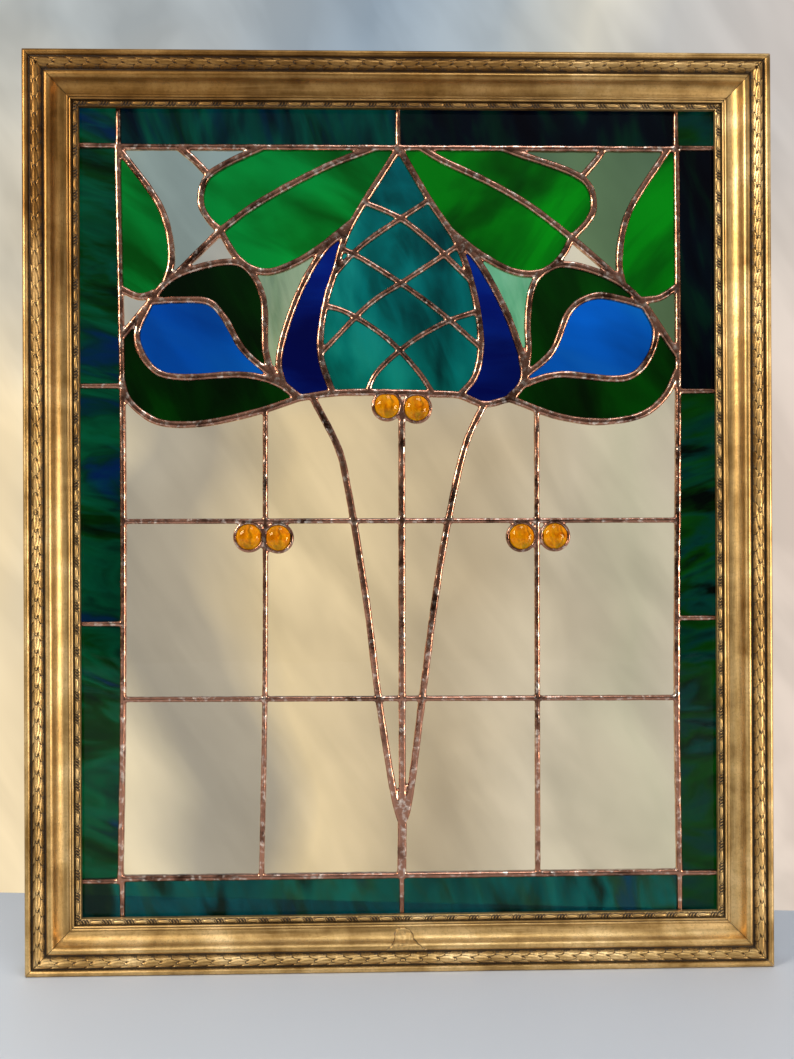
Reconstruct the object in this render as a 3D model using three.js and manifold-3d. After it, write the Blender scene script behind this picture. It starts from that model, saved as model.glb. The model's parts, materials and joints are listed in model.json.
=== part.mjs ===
// A copper-foil stained glass panel in a gilded picture frame, made to hang on a wall.
// Millimetres, +Z up, the front faces -Y. The origin is on the flat back of the top rail, at its middle.
import * as THREE from "three";
import { mergeVertices } from "three/addons/utils/BufferGeometryUtils.js";
import Module from "manifold-3d";

const wasm = await Module();
wasm.setup();

// Panel: the glass, with a border strip of equal width around the drawn field.
const PANEL_WIDTH = 406.4;
const PANEL_HEIGHT = 512;
const BORDER_STRIP = 27.6;
const GLASS_THICKNESS = 3;

// Seams: solder over foil, a flat strip between the panes that stands proud of both faces. The strip
// leaves out the bead's thin edge, which lies on the glass.
const BEAD_HEIGHT = 1.4;
const BEAD_EDGE = 0.4;
const BEAD = { border: 3.4, cross: 3, bar: 3, motif: 3.8, lattice: 3.6, stem: 4.2, joint: 5.4 };
const EDGE_GAP = 0.3;
const FACE_GAP = 0.2;

// Gems: half-marbles with a flat back and a domed front, each in a solder ring.
const GEM_RADIUS = 8;
const GEM_THICKNESS = 7.5;
const RING_WALL = 1.6;
const ROUND_SIDES = 14;

// Frame: four mitred rails with a rebate behind the sight edge.
const RAIL_WIDTH = 32;
const RAIL_DEPTH = 25;
const LIP_OVERLAP = 4.5;
const LIP_THICKNESS = 3.2;
const PANEL_CLEARANCE = 0.5;
const REBATE_BEHIND_PANEL = 2.6;
const MITRE_GAP = 0.3;

// Curves are laid in straight lengths that leave the drawn line by no more than this.
const CHORD_ERROR = 0.4;
const CURVE_SAMPLES = 16;

const fieldWidth = PANEL_WIDTH - 2 * BORDER_STRIP;
const fieldHeight = PANEL_HEIGHT - 2 * BORDER_STRIP;
const glassHalf = GLASS_THICKNESS / 2;
const beadBase = glassHalf + FACE_GAP;
const beadTop = beadBase + BEAD_HEIGHT;
const gemHole = GEM_RADIUS + EDGE_GAP;
const ringRadius = gemHole + RING_WALL;
const rebateDepth = REBATE_BEHIND_PANEL + 2 * beadTop + EDGE_GAP;
const panelSetBack = REBATE_BEHIND_PANEL + beadTop;
const rebateEdge = RAIL_WIDTH - LIP_OVERLAP - PANEL_CLEARANCE;
const frameReachX = PANEL_WIDTH / 2 - LIP_OVERLAP + RAIL_WIDTH;
const frameReachZ = PANEL_HEIGHT / 2 - LIP_OVERLAP + RAIL_WIDTH;
const mountBelowTop = rebateEdge / 2;

// The cartoon: the seams are drawn on a sheet, x from its middle and z from its foot, and the drawing
// is stretched so that the sheet's corners meet the field's.
const TOP_CENTRE = [0, 454];
const TOP_LEFT = [-175, 454];
const TOP_RIGHT = [175, 454];
const FOOT_LEFT = [-175, 0];
const FOOT_RIGHT = [175, 0];
const FOOT_CENTRE = [0, 0];
const STEM_JOINT = [0.5, 32];
const cartoonWidth = TOP_RIGHT[0] - TOP_LEFT[0];
const cartoonHeight = TOP_LEFT[1] - FOOT_LEFT[1];

const LEAF_TIP_LEFT = [-111.5, 402];
const LEAF_TIP_RIGHT = [108.5, 398];
const DROP_TIP_LEFT = [-155, 358];
const DROP_TIP_RIGHT = [154.5, 355.5];
const PETAL_FOOT_LEFT = [-79, 311.5];
const PETAL_FOOT_RIGHT = [78.5, 311.5];
const PETALS_MEET_LEFT = [-71, 304.5];
const PETALS_MEET_RIGHT = [76, 305];
const BUD_FOOT_LEFT = [-63, 298];
const BUD_FOOT_RIGHT = [69, 297.5];

const borderSeams = [
  [TOP_LEFT, TOP_RIGHT],
  [FOOT_LEFT, FOOT_RIGHT],
  [TOP_LEFT, [-172.5, 277], [-173, 112], FOOT_LEFT],
  [TOP_RIGHT, [175.5, 294], [174, 108], FOOT_RIGHT],
];

const barSeams = [
  [[-172.9, 221.5], [174.8, 221]],
  [[-173, 111], [174, 109.5]],
  [[-84, 290.5], [-85, 111], [-87.5, 0]],
  [[86, 291], [85.5, 0]],
];

const stemSeams = [
  [[-54.5, 298.3], [-38, 265], [-33, 243], [-21, 168.5], [-14, 110.5], [-2.8, 42],
    STEM_JOINT],
  [[53, 294], [42, 271], [30, 221], [21.5, 171], [14, 115.5], [3.8, 42], STEM_JOINT],
  [[1.2, 292], STEM_JOINT],
];

const jointSeams = [
  [STEM_JOINT, FOOT_CENTRE],
  [PETAL_FOOT_LEFT, PETALS_MEET_LEFT, BUD_FOOT_LEFT],
  [[77, 324], PETAL_FOOT_RIGHT, PETALS_MEET_RIGHT, BUD_FOOT_RIGHT],
];

const leafSeams = [
  [TOP_LEFT, [-147.5, 414], [-142, 383], [-146, 369.5]],
  [[-173.8, 366], [-161.5, 361], [-151, 364]],
  [[-85.5, 454], [-111.5, 441.5], [-120.5, 434], [-123.5, 419], [-118.5, 409], LEAF_TIP_LEFT],
  [LEAF_TIP_LEFT, [-90, 418], [-44.5, 442.5], [-15, 454]],
  [LEAF_TIP_LEFT, [-102, 386.5], [-93, 379], [-82, 376.5], [-63.5, 383], [-44.5, 395.5], [-29, 408]],
  [LEAF_TIP_LEFT, [-141.5, 372.5]],
  [[-137, 454], [-127, 445.5], [-118, 436]],
  [[170, 454], [163.5, 444.5], [143.5, 411.5], [138.5, 382], [141, 368]],
  [[151, 359], [163.5, 360.5], [175.3, 368]],
  [[66, 454], [118, 433], [122.5, 417.5], [119, 409], LEAF_TIP_RIGHT],
  [[14, 454], [26, 447], [58, 432], [81.5, 418.5], LEAF_TIP_RIGHT, [140, 371]],
  [[32, 402.5], [50, 388.5], [69, 378], [82, 375.5], [93.5, 378.5], [102.5, 387], LEAF_TIP_RIGHT],
  [[129, 454], [125.5, 448.5], [113.5, 434.5]],
];

const petalSeams = [
  [[-173.5, 335.5], DROP_TIP_LEFT, [-146, 369], [-133.5, 376.5], [-99, 381.5], [-86, 363.5],
    [-83.5, 326], PETAL_FOOT_LEFT],
  [DROP_TIP_LEFT, [-138, 359], [-118.5, 357.5], [-110, 349], [-97.5, 328], PETAL_FOOT_LEFT],
  [DROP_TIP_LEFT, [-163.5, 338], [-160, 324.5], [-150.5, 314], [-137, 311], [-99.5, 312.5],
    [-84, 310], PETALS_MEET_LEFT],
  [[-173.4, 311], [-170, 299], [-161.5, 289.5], [-149.5, 283], [-125.5, 282], [-89, 289.5], BUD_FOOT_LEFT],
  [PETAL_FOOT_RIGHT, [81, 327.5], [80.5, 345], [83.5, 367], [89, 375.5], [102, 381.5], [136.5, 371.5],
    DROP_TIP_RIGHT, [170, 332.5], [175.3, 325]],
  [DROP_TIP_RIGHT, [139, 360], [125, 362], [114, 358.5], [106.5, 351.5], [95.5, 326.5], PETAL_FOOT_RIGHT],
  [DROP_TIP_RIGHT, [161.5, 340], [157, 323], [144.5, 311], [100.5, 312.5], [87, 309.5], PETALS_MEET_RIGHT],
  [[175, 315], [167.5, 299.5], [154, 288], [129, 283], [101, 286], BUD_FOOT_RIGHT],
];

const budSeams = [
  [TOP_CENTRE, [-32.5, 401], [-40.5, 376], [-46, 358], [-49.5, 326], [-42, 301]],
  [TOP_CENTRE, [20, 420], [35.5, 396.5], [46, 367], [51, 331], [47, 311], [37.5, 299.5]],
  [[-30.5, 404.5], [-46.5, 391], [-64, 360.5], [-75.5, 320.5], [-72.5, 306]],
  [[36, 397.5], [49, 384], [67, 351.5], [77, 324]],
  [BUD_FOOT_LEFT, [-42, 301], [-19, 301.5], [21, 300.5], [37.5, 299.5], [53, 294], BUD_FOOT_RIGHT],
];

const latticeSeams = [
  [[-21.5, 420], [0, 410.5], [19, 396], [45, 371]],
  [[19.5, 422], [-24, 392.5], [-40.5, 375]],
  [[-36.5, 391.5], [-21, 383.5], [18.5, 357], [50.8, 329.5]],
  [[37.5, 393.5], [1, 369.5], [-17.5, 357.5], [-49.5, 325.5]],
  [[-46.5, 355.5], [-34.5, 352], [-9, 336], [11.5, 314.5], [21, 300.5]],
  [[49, 352], [32, 346.5], [7.5, 333], [-15, 313], [-20.5, 301.5]],
];

// Short seams across the border strip: where each one starts on the field's edge.
const crossesUp = [[-174.5, 454], [-0.5, 454], [174.5, 454]];
const crossesDown = [[-173.8, 0], [0, 0], [175, 0]];
const crossesLeft = [[-175, 454.6], [-173.2, 305.5], [-172.6, 158], [-175, -1.5]];
const crossesRight = [[175, 454.6], [175.6, 302], [174.7, 159.5], [175, -0.5]];

// Each gem hangs under a seam: the place on the seam, and how far below it the gem's middle is.
const gems = {
  amber_gem_under_bud_left: { seam: [-8, 301.4], drop: 8.4 },
  amber_gem_under_bud_right: { seam: [10.5, 300.9], drop: 9.4 },
  amber_gem_left_outer: { seam: [-94.5, 221.4], drop: 9.9 },
  amber_gem_left_inner: { seam: [-76.3, 221.4], drop: 10.6 },
  amber_gem_right_inner: { seam: [76, 221.1], drop: 10.1 },
  amber_gem_right_outer: { seam: [97, 221.1], drop: 9.8 },
};

// Glass: a place inside each pane names it.
const TEAL = 0x0a4a50;
const CLEAR = 0xd9d2b4;
const LEAF_GREEN = 0x0b7022;
const panes = {
  border_corner_top_left: [TEAL, [-185, 465]],
  border_corner_top_right: [TEAL, [185, 465]],
  border_corner_bottom_left: [TEAL, [-185, -12]],
  border_corner_bottom_right: [TEAL, [185, -12]],
  border_top_left: [TEAL, [-90, 465]],
  border_top_right: [TEAL, [90, 465]],
  border_bottom_left: [TEAL, [-90, -12]],
  border_bottom_right: [TEAL, [90, -12]],
  border_left_upper: [TEAL, [-188, 380]],
  border_left_middle: [TEAL, [-188, 230]],
  border_left_lower: [TEAL, [-188, 80]],
  border_right_upper: [TEAL, [188, 380]],
  border_right_middle: [TEAL, [188, 230]],
  border_right_lower: [TEAL, [188, 80]],
  corner_leaf_left: [LEAF_GREEN, [-161, 396]],
  corner_leaf_right: [0x08561c, [160, 402]],
  leaf_upper_left: [LEAF_GREEN, [-86, 436]],
  leaf_upper_right: [0x08561c, [101, 427]],
  leaf_lower_left: [LEAF_GREEN, [-74, 402]],
  leaf_lower_right: [0x08561c, [76, 399]],
  petal_upper_left: [0x0c2a08, [-123, 371]],
  petal_upper_right: [0x0c2a08, [126, 371]],
  petal_lower_left: [0x0c2a08, [-130, 296]],
  petal_lower_right: [0x0c2a08, [132, 298]],
  petal_drop_left: [0x1548a8, [-130, 337]],
  petal_drop_right: [0x1548a8, [132, 337]],
  bud_side_left: [0x0a1460, [-58, 346]],
  bud_side_right: [0x0a1460, [59, 346]],
  bud_lattice: [0x0a5f70, [2, 350]],
  clear_by_corner_leaf_left: [CLEAR, [-133, 408]],
  clear_by_corner_leaf_right: [CLEAR, [131, 409]],
  clear_above_leaf_left: [CLEAR, [-117, 446]],
  clear_above_leaf_right: [CLEAR, [106, 446]],
  clear_under_leaf_left: [CLEAR, [-115, 387]],
  clear_under_leaf_right: [CLEAR, [114, 386]],
  clear_by_border_left: [CLEAR, [-169, 352]],
  clear_by_border_right: [CLEAR, [168, 346]],
  wedge_left: [0xb9cfc0, [-71.5, 358]],
  wedge_right: [0xb9cfc0, [68, 366]],
  pane_outer_left_top: [CLEAR, [-130, 253]],
  pane_outer_left_middle: [CLEAR, [-130, 166]],
  pane_outer_left_bottom: [CLEAR, [-130, 55]],
  pane_outer_right_top: [CLEAR, [130, 253]],
  pane_outer_right_middle: [CLEAR, [130, 166]],
  pane_outer_right_bottom: [CLEAR, [130, 55]],
  pane_column_beside_left_stem: [CLEAR, [-55, 166]],
  pane_column_beside_right_stem: [CLEAR, [55, 166]],
  pane_column_between_stems_left: [CLEAR, [-8, 166]],
  pane_column_between_stems_right: [CLEAR, [9, 166]],
};

const paint = (color, roughness, metalness) =>
  new THREE.MeshStandardMaterial({ color, roughness, metalness });

// A place on the cartoon, in the panel's own frame: x and z from the panel's middle.
function place([x, z]) {
  const across = (x / cartoonWidth) * fieldWidth;
  const up = (z / cartoonHeight - 0.5) * fieldHeight;
  return new THREE.Vector3(across, 0, up);
}

// A closed three.js geometry as a solid that can be cut and joined.
function solid(geometry) {
  geometry.deleteAttribute("normal");
  geometry.deleteAttribute("uv");
  const merged = mergeVertices(geometry, 1e-4);
  const vertProperties = merged.getAttribute("position").array;
  const triVerts = new Uint32Array(merged.index.array);
  return new wasm.Manifold(new wasm.Mesh({ numProp: 3, vertProperties, triVerts }));
}

function meshOf(name, body, material) {
  const { vertProperties, triVerts } = body.getMesh();
  const geometry = new THREE.BufferGeometry();
  geometry.setAttribute("position", new THREE.BufferAttribute(new Float32Array(vertProperties), 3));
  geometry.setIndex(new THREE.BufferAttribute(new Uint32Array(triVerts), 1));
  geometry.computeVertexNormals();
  const mesh = new THREE.Mesh(geometry, material);
  mesh.name = name;
  return mesh;
}

// The points of a dense line that keep it within CHORD_ERROR.
function thinned(line) {
  const first = line[0];
  const last = line[line.length - 1];
  const chord = new THREE.Line3(first, last);
  const foot = new THREE.Vector3();
  const errors = line.map((p) => chord.closestPointToPoint(p, true, foot).distanceTo(p));
  const worst = errors.indexOf(Math.max(...errors));
  if (errors[worst] < CHORD_ERROR) return [first, last];
  return [...thinned(line.slice(0, worst + 1)).slice(0, -1), ...thinned(line.slice(worst))];
}

function pathOf(seam) {
  const points = seam.map(place);
  if (points.length === 2) return points;
  const curve = new THREE.CatmullRomCurve3(points, false, "centripetal");
  return thinned(curve.getPoints(CURVE_SAMPLES * (points.length - 1)));
}

// How far a path's side moves for each millimetre across, with mitred corners.
function sideAt(path, i) {
  const sides = [];
  if (i > 0) sides.push(path[i].clone().sub(path[i - 1]));
  if (i < path.length - 1) sides.push(path[i + 1].clone().sub(path[i]));
  const [a, b] = sides.map((along) => new THREE.Vector3(along.z, 0, -along.x).normalize());
  if (!b) return a;
  return a.clone().add(b).divideScalar(1 + a.dot(b));
}

// A section, given as [across, depth] points, laid along a path in the panel's plane.
function layAlong(section, path) {
  const spans = path.length - 1;
  const shape = new THREE.Shape(section.map(([across, depth]) => new THREE.Vector2(across, depth)));
  const geometry = new THREE.ExtrudeGeometry(shape, { depth: spans, steps: spans, bevelEnabled: false });
  const position = geometry.getAttribute("position");
  const sides = path.map((_, i) => sideAt(path, i));
  for (let i = 0; i < position.count; i++) {
    const step = Math.round(position.getZ(i));
    const moved = path[step].clone().addScaledVector(sides[step], position.getX(i));
    position.setXYZ(i, moved.x, position.getY(i), moved.z);
  }
  return solid(geometry);
}

function flatSection(width, back, front) {
  const half = width / 2;
  return [[-half, front], [half, front], [half, back], [-half, back]];
}

function crossSeams() {
  const seams = [];
  const edgeX = ((PANEL_WIDTH / 2) * cartoonWidth) / fieldWidth;
  const edgeZ = ((PANEL_HEIGHT / 2) * cartoonHeight) / fieldHeight;
  const middle = cartoonHeight / 2;
  for (const [x, z] of crossesUp) seams.push([[x, z], [x, middle + edgeZ]]);
  for (const [x, z] of crossesDown) seams.push([[x, z], [x, middle - edgeZ]]);
  for (const [x, z] of crossesLeft) seams.push([[x, z], [-edgeX, z]]);
  for (const [x, z] of crossesRight) seams.push([[x, z], [edgeX, z]]);
  return seams;
}

// The columns beside the stems and the bud's lattice are one solid each: there the two bars and the
// lattice are strips on both faces only. Everywhere else a seam goes through.
const barEnds = [[[-172.9, 221.5], [-84.6, 221.4]], [[86, 221.1], [174.8, 221]],
  [[-173, 111], [-85, 110.6]], [[85.7, 109.9], [174, 109.5]]];
const seamGroups = [
  { seams: borderSeams, bead: BEAD.border, through: true },
  { seams: crossSeams(), bead: BEAD.cross, through: true },
  { seams: barSeams.slice(0, 2), bead: BEAD.bar, through: false },
  { seams: barEnds, bead: BEAD.bar, through: true },
  { seams: barSeams.slice(2), bead: BEAD.bar, through: true },
  { seams: stemSeams, bead: BEAD.stem, through: true },
  { seams: jointSeams, bead: BEAD.joint, through: true },
  { seams: leafSeams, bead: BEAD.motif, through: true },
  { seams: petalSeams, bead: BEAD.motif, through: true },
  { seams: budSeams, bead: BEAD.motif, through: true },
  { seams: latticeSeams, bead: BEAD.lattice, through: false },
];

function underSeam({ seam, drop }, geometry) {
  const { x, z } = place(seam);
  return solid(geometry.translate(x, 0, z - drop));
}

function gemRing(gem) {
  const profile = [[gemHole, beadTop], [gemHole, -beadTop], [ringRadius, -beadTop], [ringRadius, beadTop],
    [gemHole, beadTop]].map(([r, y]) => new THREE.Vector2(r, y));
  return underSeam(gem, new THREE.LatheGeometry(profile, ROUND_SIDES));
}

function gemPlug(gem, radius) {
  return underSeam(gem, new THREE.CylinderGeometry(radius, radius, 4 * beadTop, ROUND_SIDES));
}

function gemBody(gem) {
  const front = glassHalf - GEM_THICKNESS;
  const shoulder = -glassHalf;
  const dome = (share) => front + (shoulder - front) * (1 - Math.sqrt(1 - share * share));
  const profile = [[0, front], [0.5, dome(0.5)], [0.85, dome(0.85)], [1, shoulder], [1, glassHalf],
    [0, glassHalf]].map(([share, y]) => new THREE.Vector2(share * GEM_RADIUS, y));
  return underSeam(gem, new THREE.LatheGeometry(profile, ROUND_SIDES));
}

function seamNetwork() {
  let network = null;
  const join = (body) => (network = network ? network.add(body) : body);
  for (const { seams, bead, through } of seamGroups)
    for (const seam of seams) {
      const path = pathOf(seam);
      const width = bead - 2 * BEAD_EDGE;
      const layers = through ? [[beadTop, -beadTop]] : [[-beadBase, -beadTop], [beadTop, beadBase]];
      for (const [back, front] of layers) join(layAlong(flatSection(width, back, front), path));
    }
  for (const gem of Object.values(gems)) join(gemRing(gem));
  for (const gem of Object.values(gems)) network = network.subtract(gemPlug(gem, gemHole));
  return network.simplify(FACE_GAP / 10);
}

function cutGlass() {
  let sheet = solid(new THREE.BoxGeometry(PANEL_WIDTH, GLASS_THICKNESS, PANEL_HEIGHT));
  for (const { seams, bead } of seamGroups.filter((group) => group.through)) {
    const cut = flatSection(bead - 2 * BEAD_EDGE + 2 * EDGE_GAP, GLASS_THICKNESS, -GLASS_THICKNESS);
    for (const seam of seams) sheet = sheet.subtract(layAlong(cut, pathOf(seam)));
  }
  for (const gem of Object.values(gems)) sheet = sheet.subtract(gemPlug(gem, ringRadius + EDGE_GAP));
  return sheet.decompose();
}

function paneMeshes() {
  const bodies = cutGlass();
  const probe = new THREE.BoxGeometry(1, 1, 1);
  return Object.entries(panes).map(([name, [color, seed]]) => {
    const { x, z } = place(seed);
    const pin = solid(probe.clone().translate(x, 0, z));
    const found = bodies.findIndex((body) => body.intersect(pin).volume() > 0);
    if (found < 0) throw new Error("no glass of its own at " + name);
    return meshOf(name, bodies.splice(found, 1)[0], paint(color, 0.1, 0));
  });
}

// The rail's section: [across from the outer edge, height over the sight edge], as shares of the face.
const railFaceShares = [[0, 0.66], [0.03, 0.8], [0.1, 0.84], [0.13, 0.74], [0.18, 0.9], [0.27, 1],
  [0.36, 0.9], [0.41, 0.72], [0.46, 0.78], [0.55, 0.7], [0.6, 0.48], [0.68, 0.28], [0.79, 0.16], [0.82, 0.2],
  [0.88, 0.16], [0.9, 0.08], [0.96, 0.1], [1, 0]];

function railMesh(name, length, reach, turn, color) {
  const sight = rebateDepth + LIP_THICKNESS;
  const face = railFaceShares.map(([across, up]) => [across * RAIL_WIDTH, sight + up * (RAIL_DEPTH - sight)]);
  const back = [[RAIL_WIDTH, rebateDepth], [rebateEdge, rebateDepth], [rebateEdge, 0], [0, 0]];
  const outline = [...face, ...back].map(([across, height]) => new THREE.Vector2(across, height));
  const shape = new THREE.Shape(outline);
  const geometry = new THREE.ExtrudeGeometry(shape, { depth: 2, steps: 1, bevelEnabled: false });
  const position = geometry.getAttribute("position");
  for (let i = 0; i < position.count; i++) {
    const across = position.getX(i);
    const end = position.getZ(i) - 1;
    const half = length / 2 - across - MITRE_GAP / Math.SQRT2;
    position.setXYZ(i, -end * half, -position.getY(i), reach - across);
  }
  const mesh = meshOf(name, solid(geometry), paint(color, 0.45, 0.8));
  mesh.rotation.y = turn;
  return mesh;
}

function frameMeshes() {
  const gilt = 0xb08c50;
  const quarter = Math.PI / 2;
  return [
    railMesh("frame_rail_top", 2 * frameReachX, frameReachZ, 0, gilt),
    railMesh("frame_stile_right", 2 * frameReachZ, frameReachX, quarter, gilt),
    railMesh("frame_rail_bottom", 2 * frameReachX, frameReachZ, 2 * quarter, gilt),
    railMesh("frame_stile_left", 2 * frameReachZ, frameReachX, 3 * quarter, gilt),
  ];
}

const panel = new THREE.Group();
panel.position.y = -panelSetBack;
panel.add(meshOf("solder_seams", seamNetwork(), paint(0x6e4a38, 0.4, 0.8)));
const amber = 0xe0900c;
for (const [name, gem] of Object.entries(gems)) panel.add(meshOf(name, gemBody(gem), paint(amber, 0.1, 0)));
panel.add(...paneMeshes());

const hung = new THREE.Group();
hung.position.z = mountBelowTop - frameReachZ;
hung.add(panel, ...frameMeshes());

const windowPanel = new THREE.Group();
windowPanel.add(hung);

export default windowPanel;
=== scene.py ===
"""Stained glass panel in a gilded frame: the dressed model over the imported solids.

Metres, +Z up, the front faces -Y, the origin on the flat back of the top rail. Sizes in the classes
are millimetres, and MM turns them into metres where a mesh is made.
"""

import json
import logging
import math
from dataclasses import dataclass, field
from enum import Enum
from typing import Iterable, Optional, Sequence, Union

import bmesh
import bpy
from mathutils import Euler, Matrix, Vector

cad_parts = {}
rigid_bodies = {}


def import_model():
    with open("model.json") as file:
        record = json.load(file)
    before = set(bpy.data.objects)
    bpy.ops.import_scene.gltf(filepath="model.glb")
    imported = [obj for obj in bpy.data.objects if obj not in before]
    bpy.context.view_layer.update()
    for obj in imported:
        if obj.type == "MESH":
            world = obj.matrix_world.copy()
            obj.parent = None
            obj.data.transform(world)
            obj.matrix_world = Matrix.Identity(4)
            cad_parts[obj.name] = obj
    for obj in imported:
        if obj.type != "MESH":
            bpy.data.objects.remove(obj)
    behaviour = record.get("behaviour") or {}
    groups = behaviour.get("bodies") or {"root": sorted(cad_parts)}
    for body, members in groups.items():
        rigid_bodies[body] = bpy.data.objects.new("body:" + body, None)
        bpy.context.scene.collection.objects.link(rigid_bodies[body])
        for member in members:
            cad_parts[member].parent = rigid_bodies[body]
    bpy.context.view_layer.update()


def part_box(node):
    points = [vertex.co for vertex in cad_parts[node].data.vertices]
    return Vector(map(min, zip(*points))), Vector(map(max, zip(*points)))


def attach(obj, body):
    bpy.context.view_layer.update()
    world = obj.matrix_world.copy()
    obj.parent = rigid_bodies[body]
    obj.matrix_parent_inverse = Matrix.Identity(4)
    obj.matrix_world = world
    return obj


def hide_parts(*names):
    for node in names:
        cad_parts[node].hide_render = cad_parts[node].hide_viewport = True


log = logging.getLogger("stained_glass")

MM = 0.001
BODY = "root"
# Nearer than this, in millimetres, two points of a drawing are one
SAME_PLACE = 1e-6
# Nearer than this, in metres, two points of a mesh are welded
WELD = 1e-7

Point = tuple[float, float]
Seam = list[Point]
Colour = tuple[float, float, float]
Stops = Sequence[tuple[float, Colour]]
Faces = list[bmesh.types.BMFace]
Feed = Union[bpy.types.NodeSocket, float, Colour]


# Cartoon: the drawing of the seams, on a sheet 350 wide and 454 high, x from its middle, z from its foot

TOP_CENTRE: Point = (0, 454)
TOP_LEFT: Point = (-175, 454)
TOP_RIGHT: Point = (175, 454)
FOOT_LEFT: Point = (-175, 0)
FOOT_RIGHT: Point = (175, 0)
FOOT_CENTRE: Point = (0, 0)
STEM_JOINT: Point = (0.5, 32)
LEAF_TIP_LEFT: Point = (-111.5, 402)
LEAF_TIP_RIGHT: Point = (108.5, 398)
DROP_TIP_LEFT: Point = (-155, 358)
DROP_TIP_RIGHT: Point = (154.5, 355.5)
PETAL_FOOT_LEFT: Point = (-79, 311.5)
PETAL_FOOT_RIGHT: Point = (78.5, 311.5)
PETALS_MEET_LEFT: Point = (-71, 304.5)
PETALS_MEET_RIGHT: Point = (76, 305)
BUD_FOOT_LEFT: Point = (-63, 298)
BUD_FOOT_RIGHT: Point = (69, 297.5)


class Bead(Enum):
    """The kinds of solder bead: the width of each, and what melting takes off it, in millimetres.

    No two may be alike, or they would be one kind, so a bar is a hair wider than a cross.
    """

    BORDER = (3.4, 0.3)
    CROSS = (3.0, 0.3)
    BAR = (3.01, 0.3)
    MOTIF = (3.8, 0.6)
    LATTICE = (3.6, 0.0)
    STEM = (4.2, 0.3)
    JOINT = (5.4, 0.3)

    def __init__(self, width: float, melting: float) -> None:
        """Keeps the width, and the width the bead is laid at before it melts."""
        self.width = width
        self.laid = width + melting


BORDER_SEAMS: list[Seam] = [
    [TOP_LEFT, TOP_RIGHT],
    [FOOT_LEFT, FOOT_RIGHT],
    [TOP_LEFT, (-172.5, 277), (-173, 112), FOOT_LEFT],
    [TOP_RIGHT, (175.5, 294), (174, 108), FOOT_RIGHT],
]
BAR_SEAMS: list[Seam] = [
    [(-172.9, 221.5), (174.8, 221)],
    [(-173, 111), (174, 109.5)],
    [(-84, 290.5), (-85, 111), (-87.5, 0)],
    [(86, 291), (85.5, 0)],
]
STEM_SEAMS: list[Seam] = [
    [(-54.5, 298.3), (-38, 265), (-33, 243), (-21, 168.5), (-14, 110.5), (-2.8, 42), STEM_JOINT],
    [(53, 294), (42, 271), (30, 221), (21.5, 171), (14, 115.5), (3.8, 42), STEM_JOINT],
    [(1.2, 292), STEM_JOINT],
]
JOINT_SEAMS: list[Seam] = [
    [STEM_JOINT, FOOT_CENTRE],
    [PETAL_FOOT_LEFT, PETALS_MEET_LEFT, BUD_FOOT_LEFT],
    [(77, 324), PETAL_FOOT_RIGHT, PETALS_MEET_RIGHT, BUD_FOOT_RIGHT],
]
LEAF_SEAMS: list[Seam] = [
    [TOP_LEFT, (-147.5, 414), (-142, 383), (-146, 369.5)],
    [(-173.8, 366), (-161.5, 361), (-151, 364)],
    [(-85.5, 454), (-111.5, 441.5), (-120.5, 434), (-123.5, 419), (-118.5, 409), LEAF_TIP_LEFT],
    [LEAF_TIP_LEFT, (-90, 418), (-44.5, 442.5), (-15, 454)],
    [LEAF_TIP_LEFT, (-102, 386.5), (-93, 379), (-82, 376.5), (-63.5, 383), (-44.5, 395.5), (-29, 408)],
    [LEAF_TIP_LEFT, (-141.5, 372.5)],
    [(-137, 454), (-127, 445.5), (-118, 436)],
    [(170, 454), (163.5, 444.5), (143.5, 411.5), (138.5, 382), (141, 368)],
    [(151, 359), (163.5, 360.5), (175.3, 368)],
    [(66, 454), (118, 433), (122.5, 417.5), (119, 409), LEAF_TIP_RIGHT],
    [(14, 454), (26, 447), (58, 432), (81.5, 418.5), LEAF_TIP_RIGHT, (140, 371)],
    [(32, 402.5), (50, 388.5), (69, 378), (82, 375.5), (93.5, 378.5), (102.5, 387), LEAF_TIP_RIGHT],
    [(129, 454), (125.5, 448.5), (113.5, 434.5)],
]
PETAL_SEAMS: list[Seam] = [
    [(-173.5, 335.5), DROP_TIP_LEFT, (-146, 369), (-133.5, 376.5), (-99, 381.5), (-86, 363.5),
     (-83.5, 326), PETAL_FOOT_LEFT],
    [DROP_TIP_LEFT, (-138, 359), (-118.5, 357.5), (-110, 349), (-97.5, 328), PETAL_FOOT_LEFT],
    [DROP_TIP_LEFT, (-163.5, 338), (-160, 324.5), (-150.5, 314), (-137, 311), (-99.5, 312.5),
     (-84, 310), PETALS_MEET_LEFT],
    [(-173.4, 311), (-170, 299), (-161.5, 289.5), (-149.5, 283), (-125.5, 282), (-89, 289.5), BUD_FOOT_LEFT],
    [PETAL_FOOT_RIGHT, (81, 327.5), (80.5, 345), (83.5, 367), (89, 375.5), (102, 381.5), (136.5, 371.5),
     DROP_TIP_RIGHT, (170, 332.5), (175.3, 325)],
    [DROP_TIP_RIGHT, (139, 360), (125, 362), (114, 358.5), (106.5, 351.5), (95.5, 326.5), PETAL_FOOT_RIGHT],
    [DROP_TIP_RIGHT, (161.5, 340), (157, 323), (144.5, 311), (100.5, 312.5), (87, 309.5), PETALS_MEET_RIGHT],
    [(175, 315), (167.5, 299.5), (154, 288), (129, 283), (101, 286), BUD_FOOT_RIGHT],
]
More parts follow.
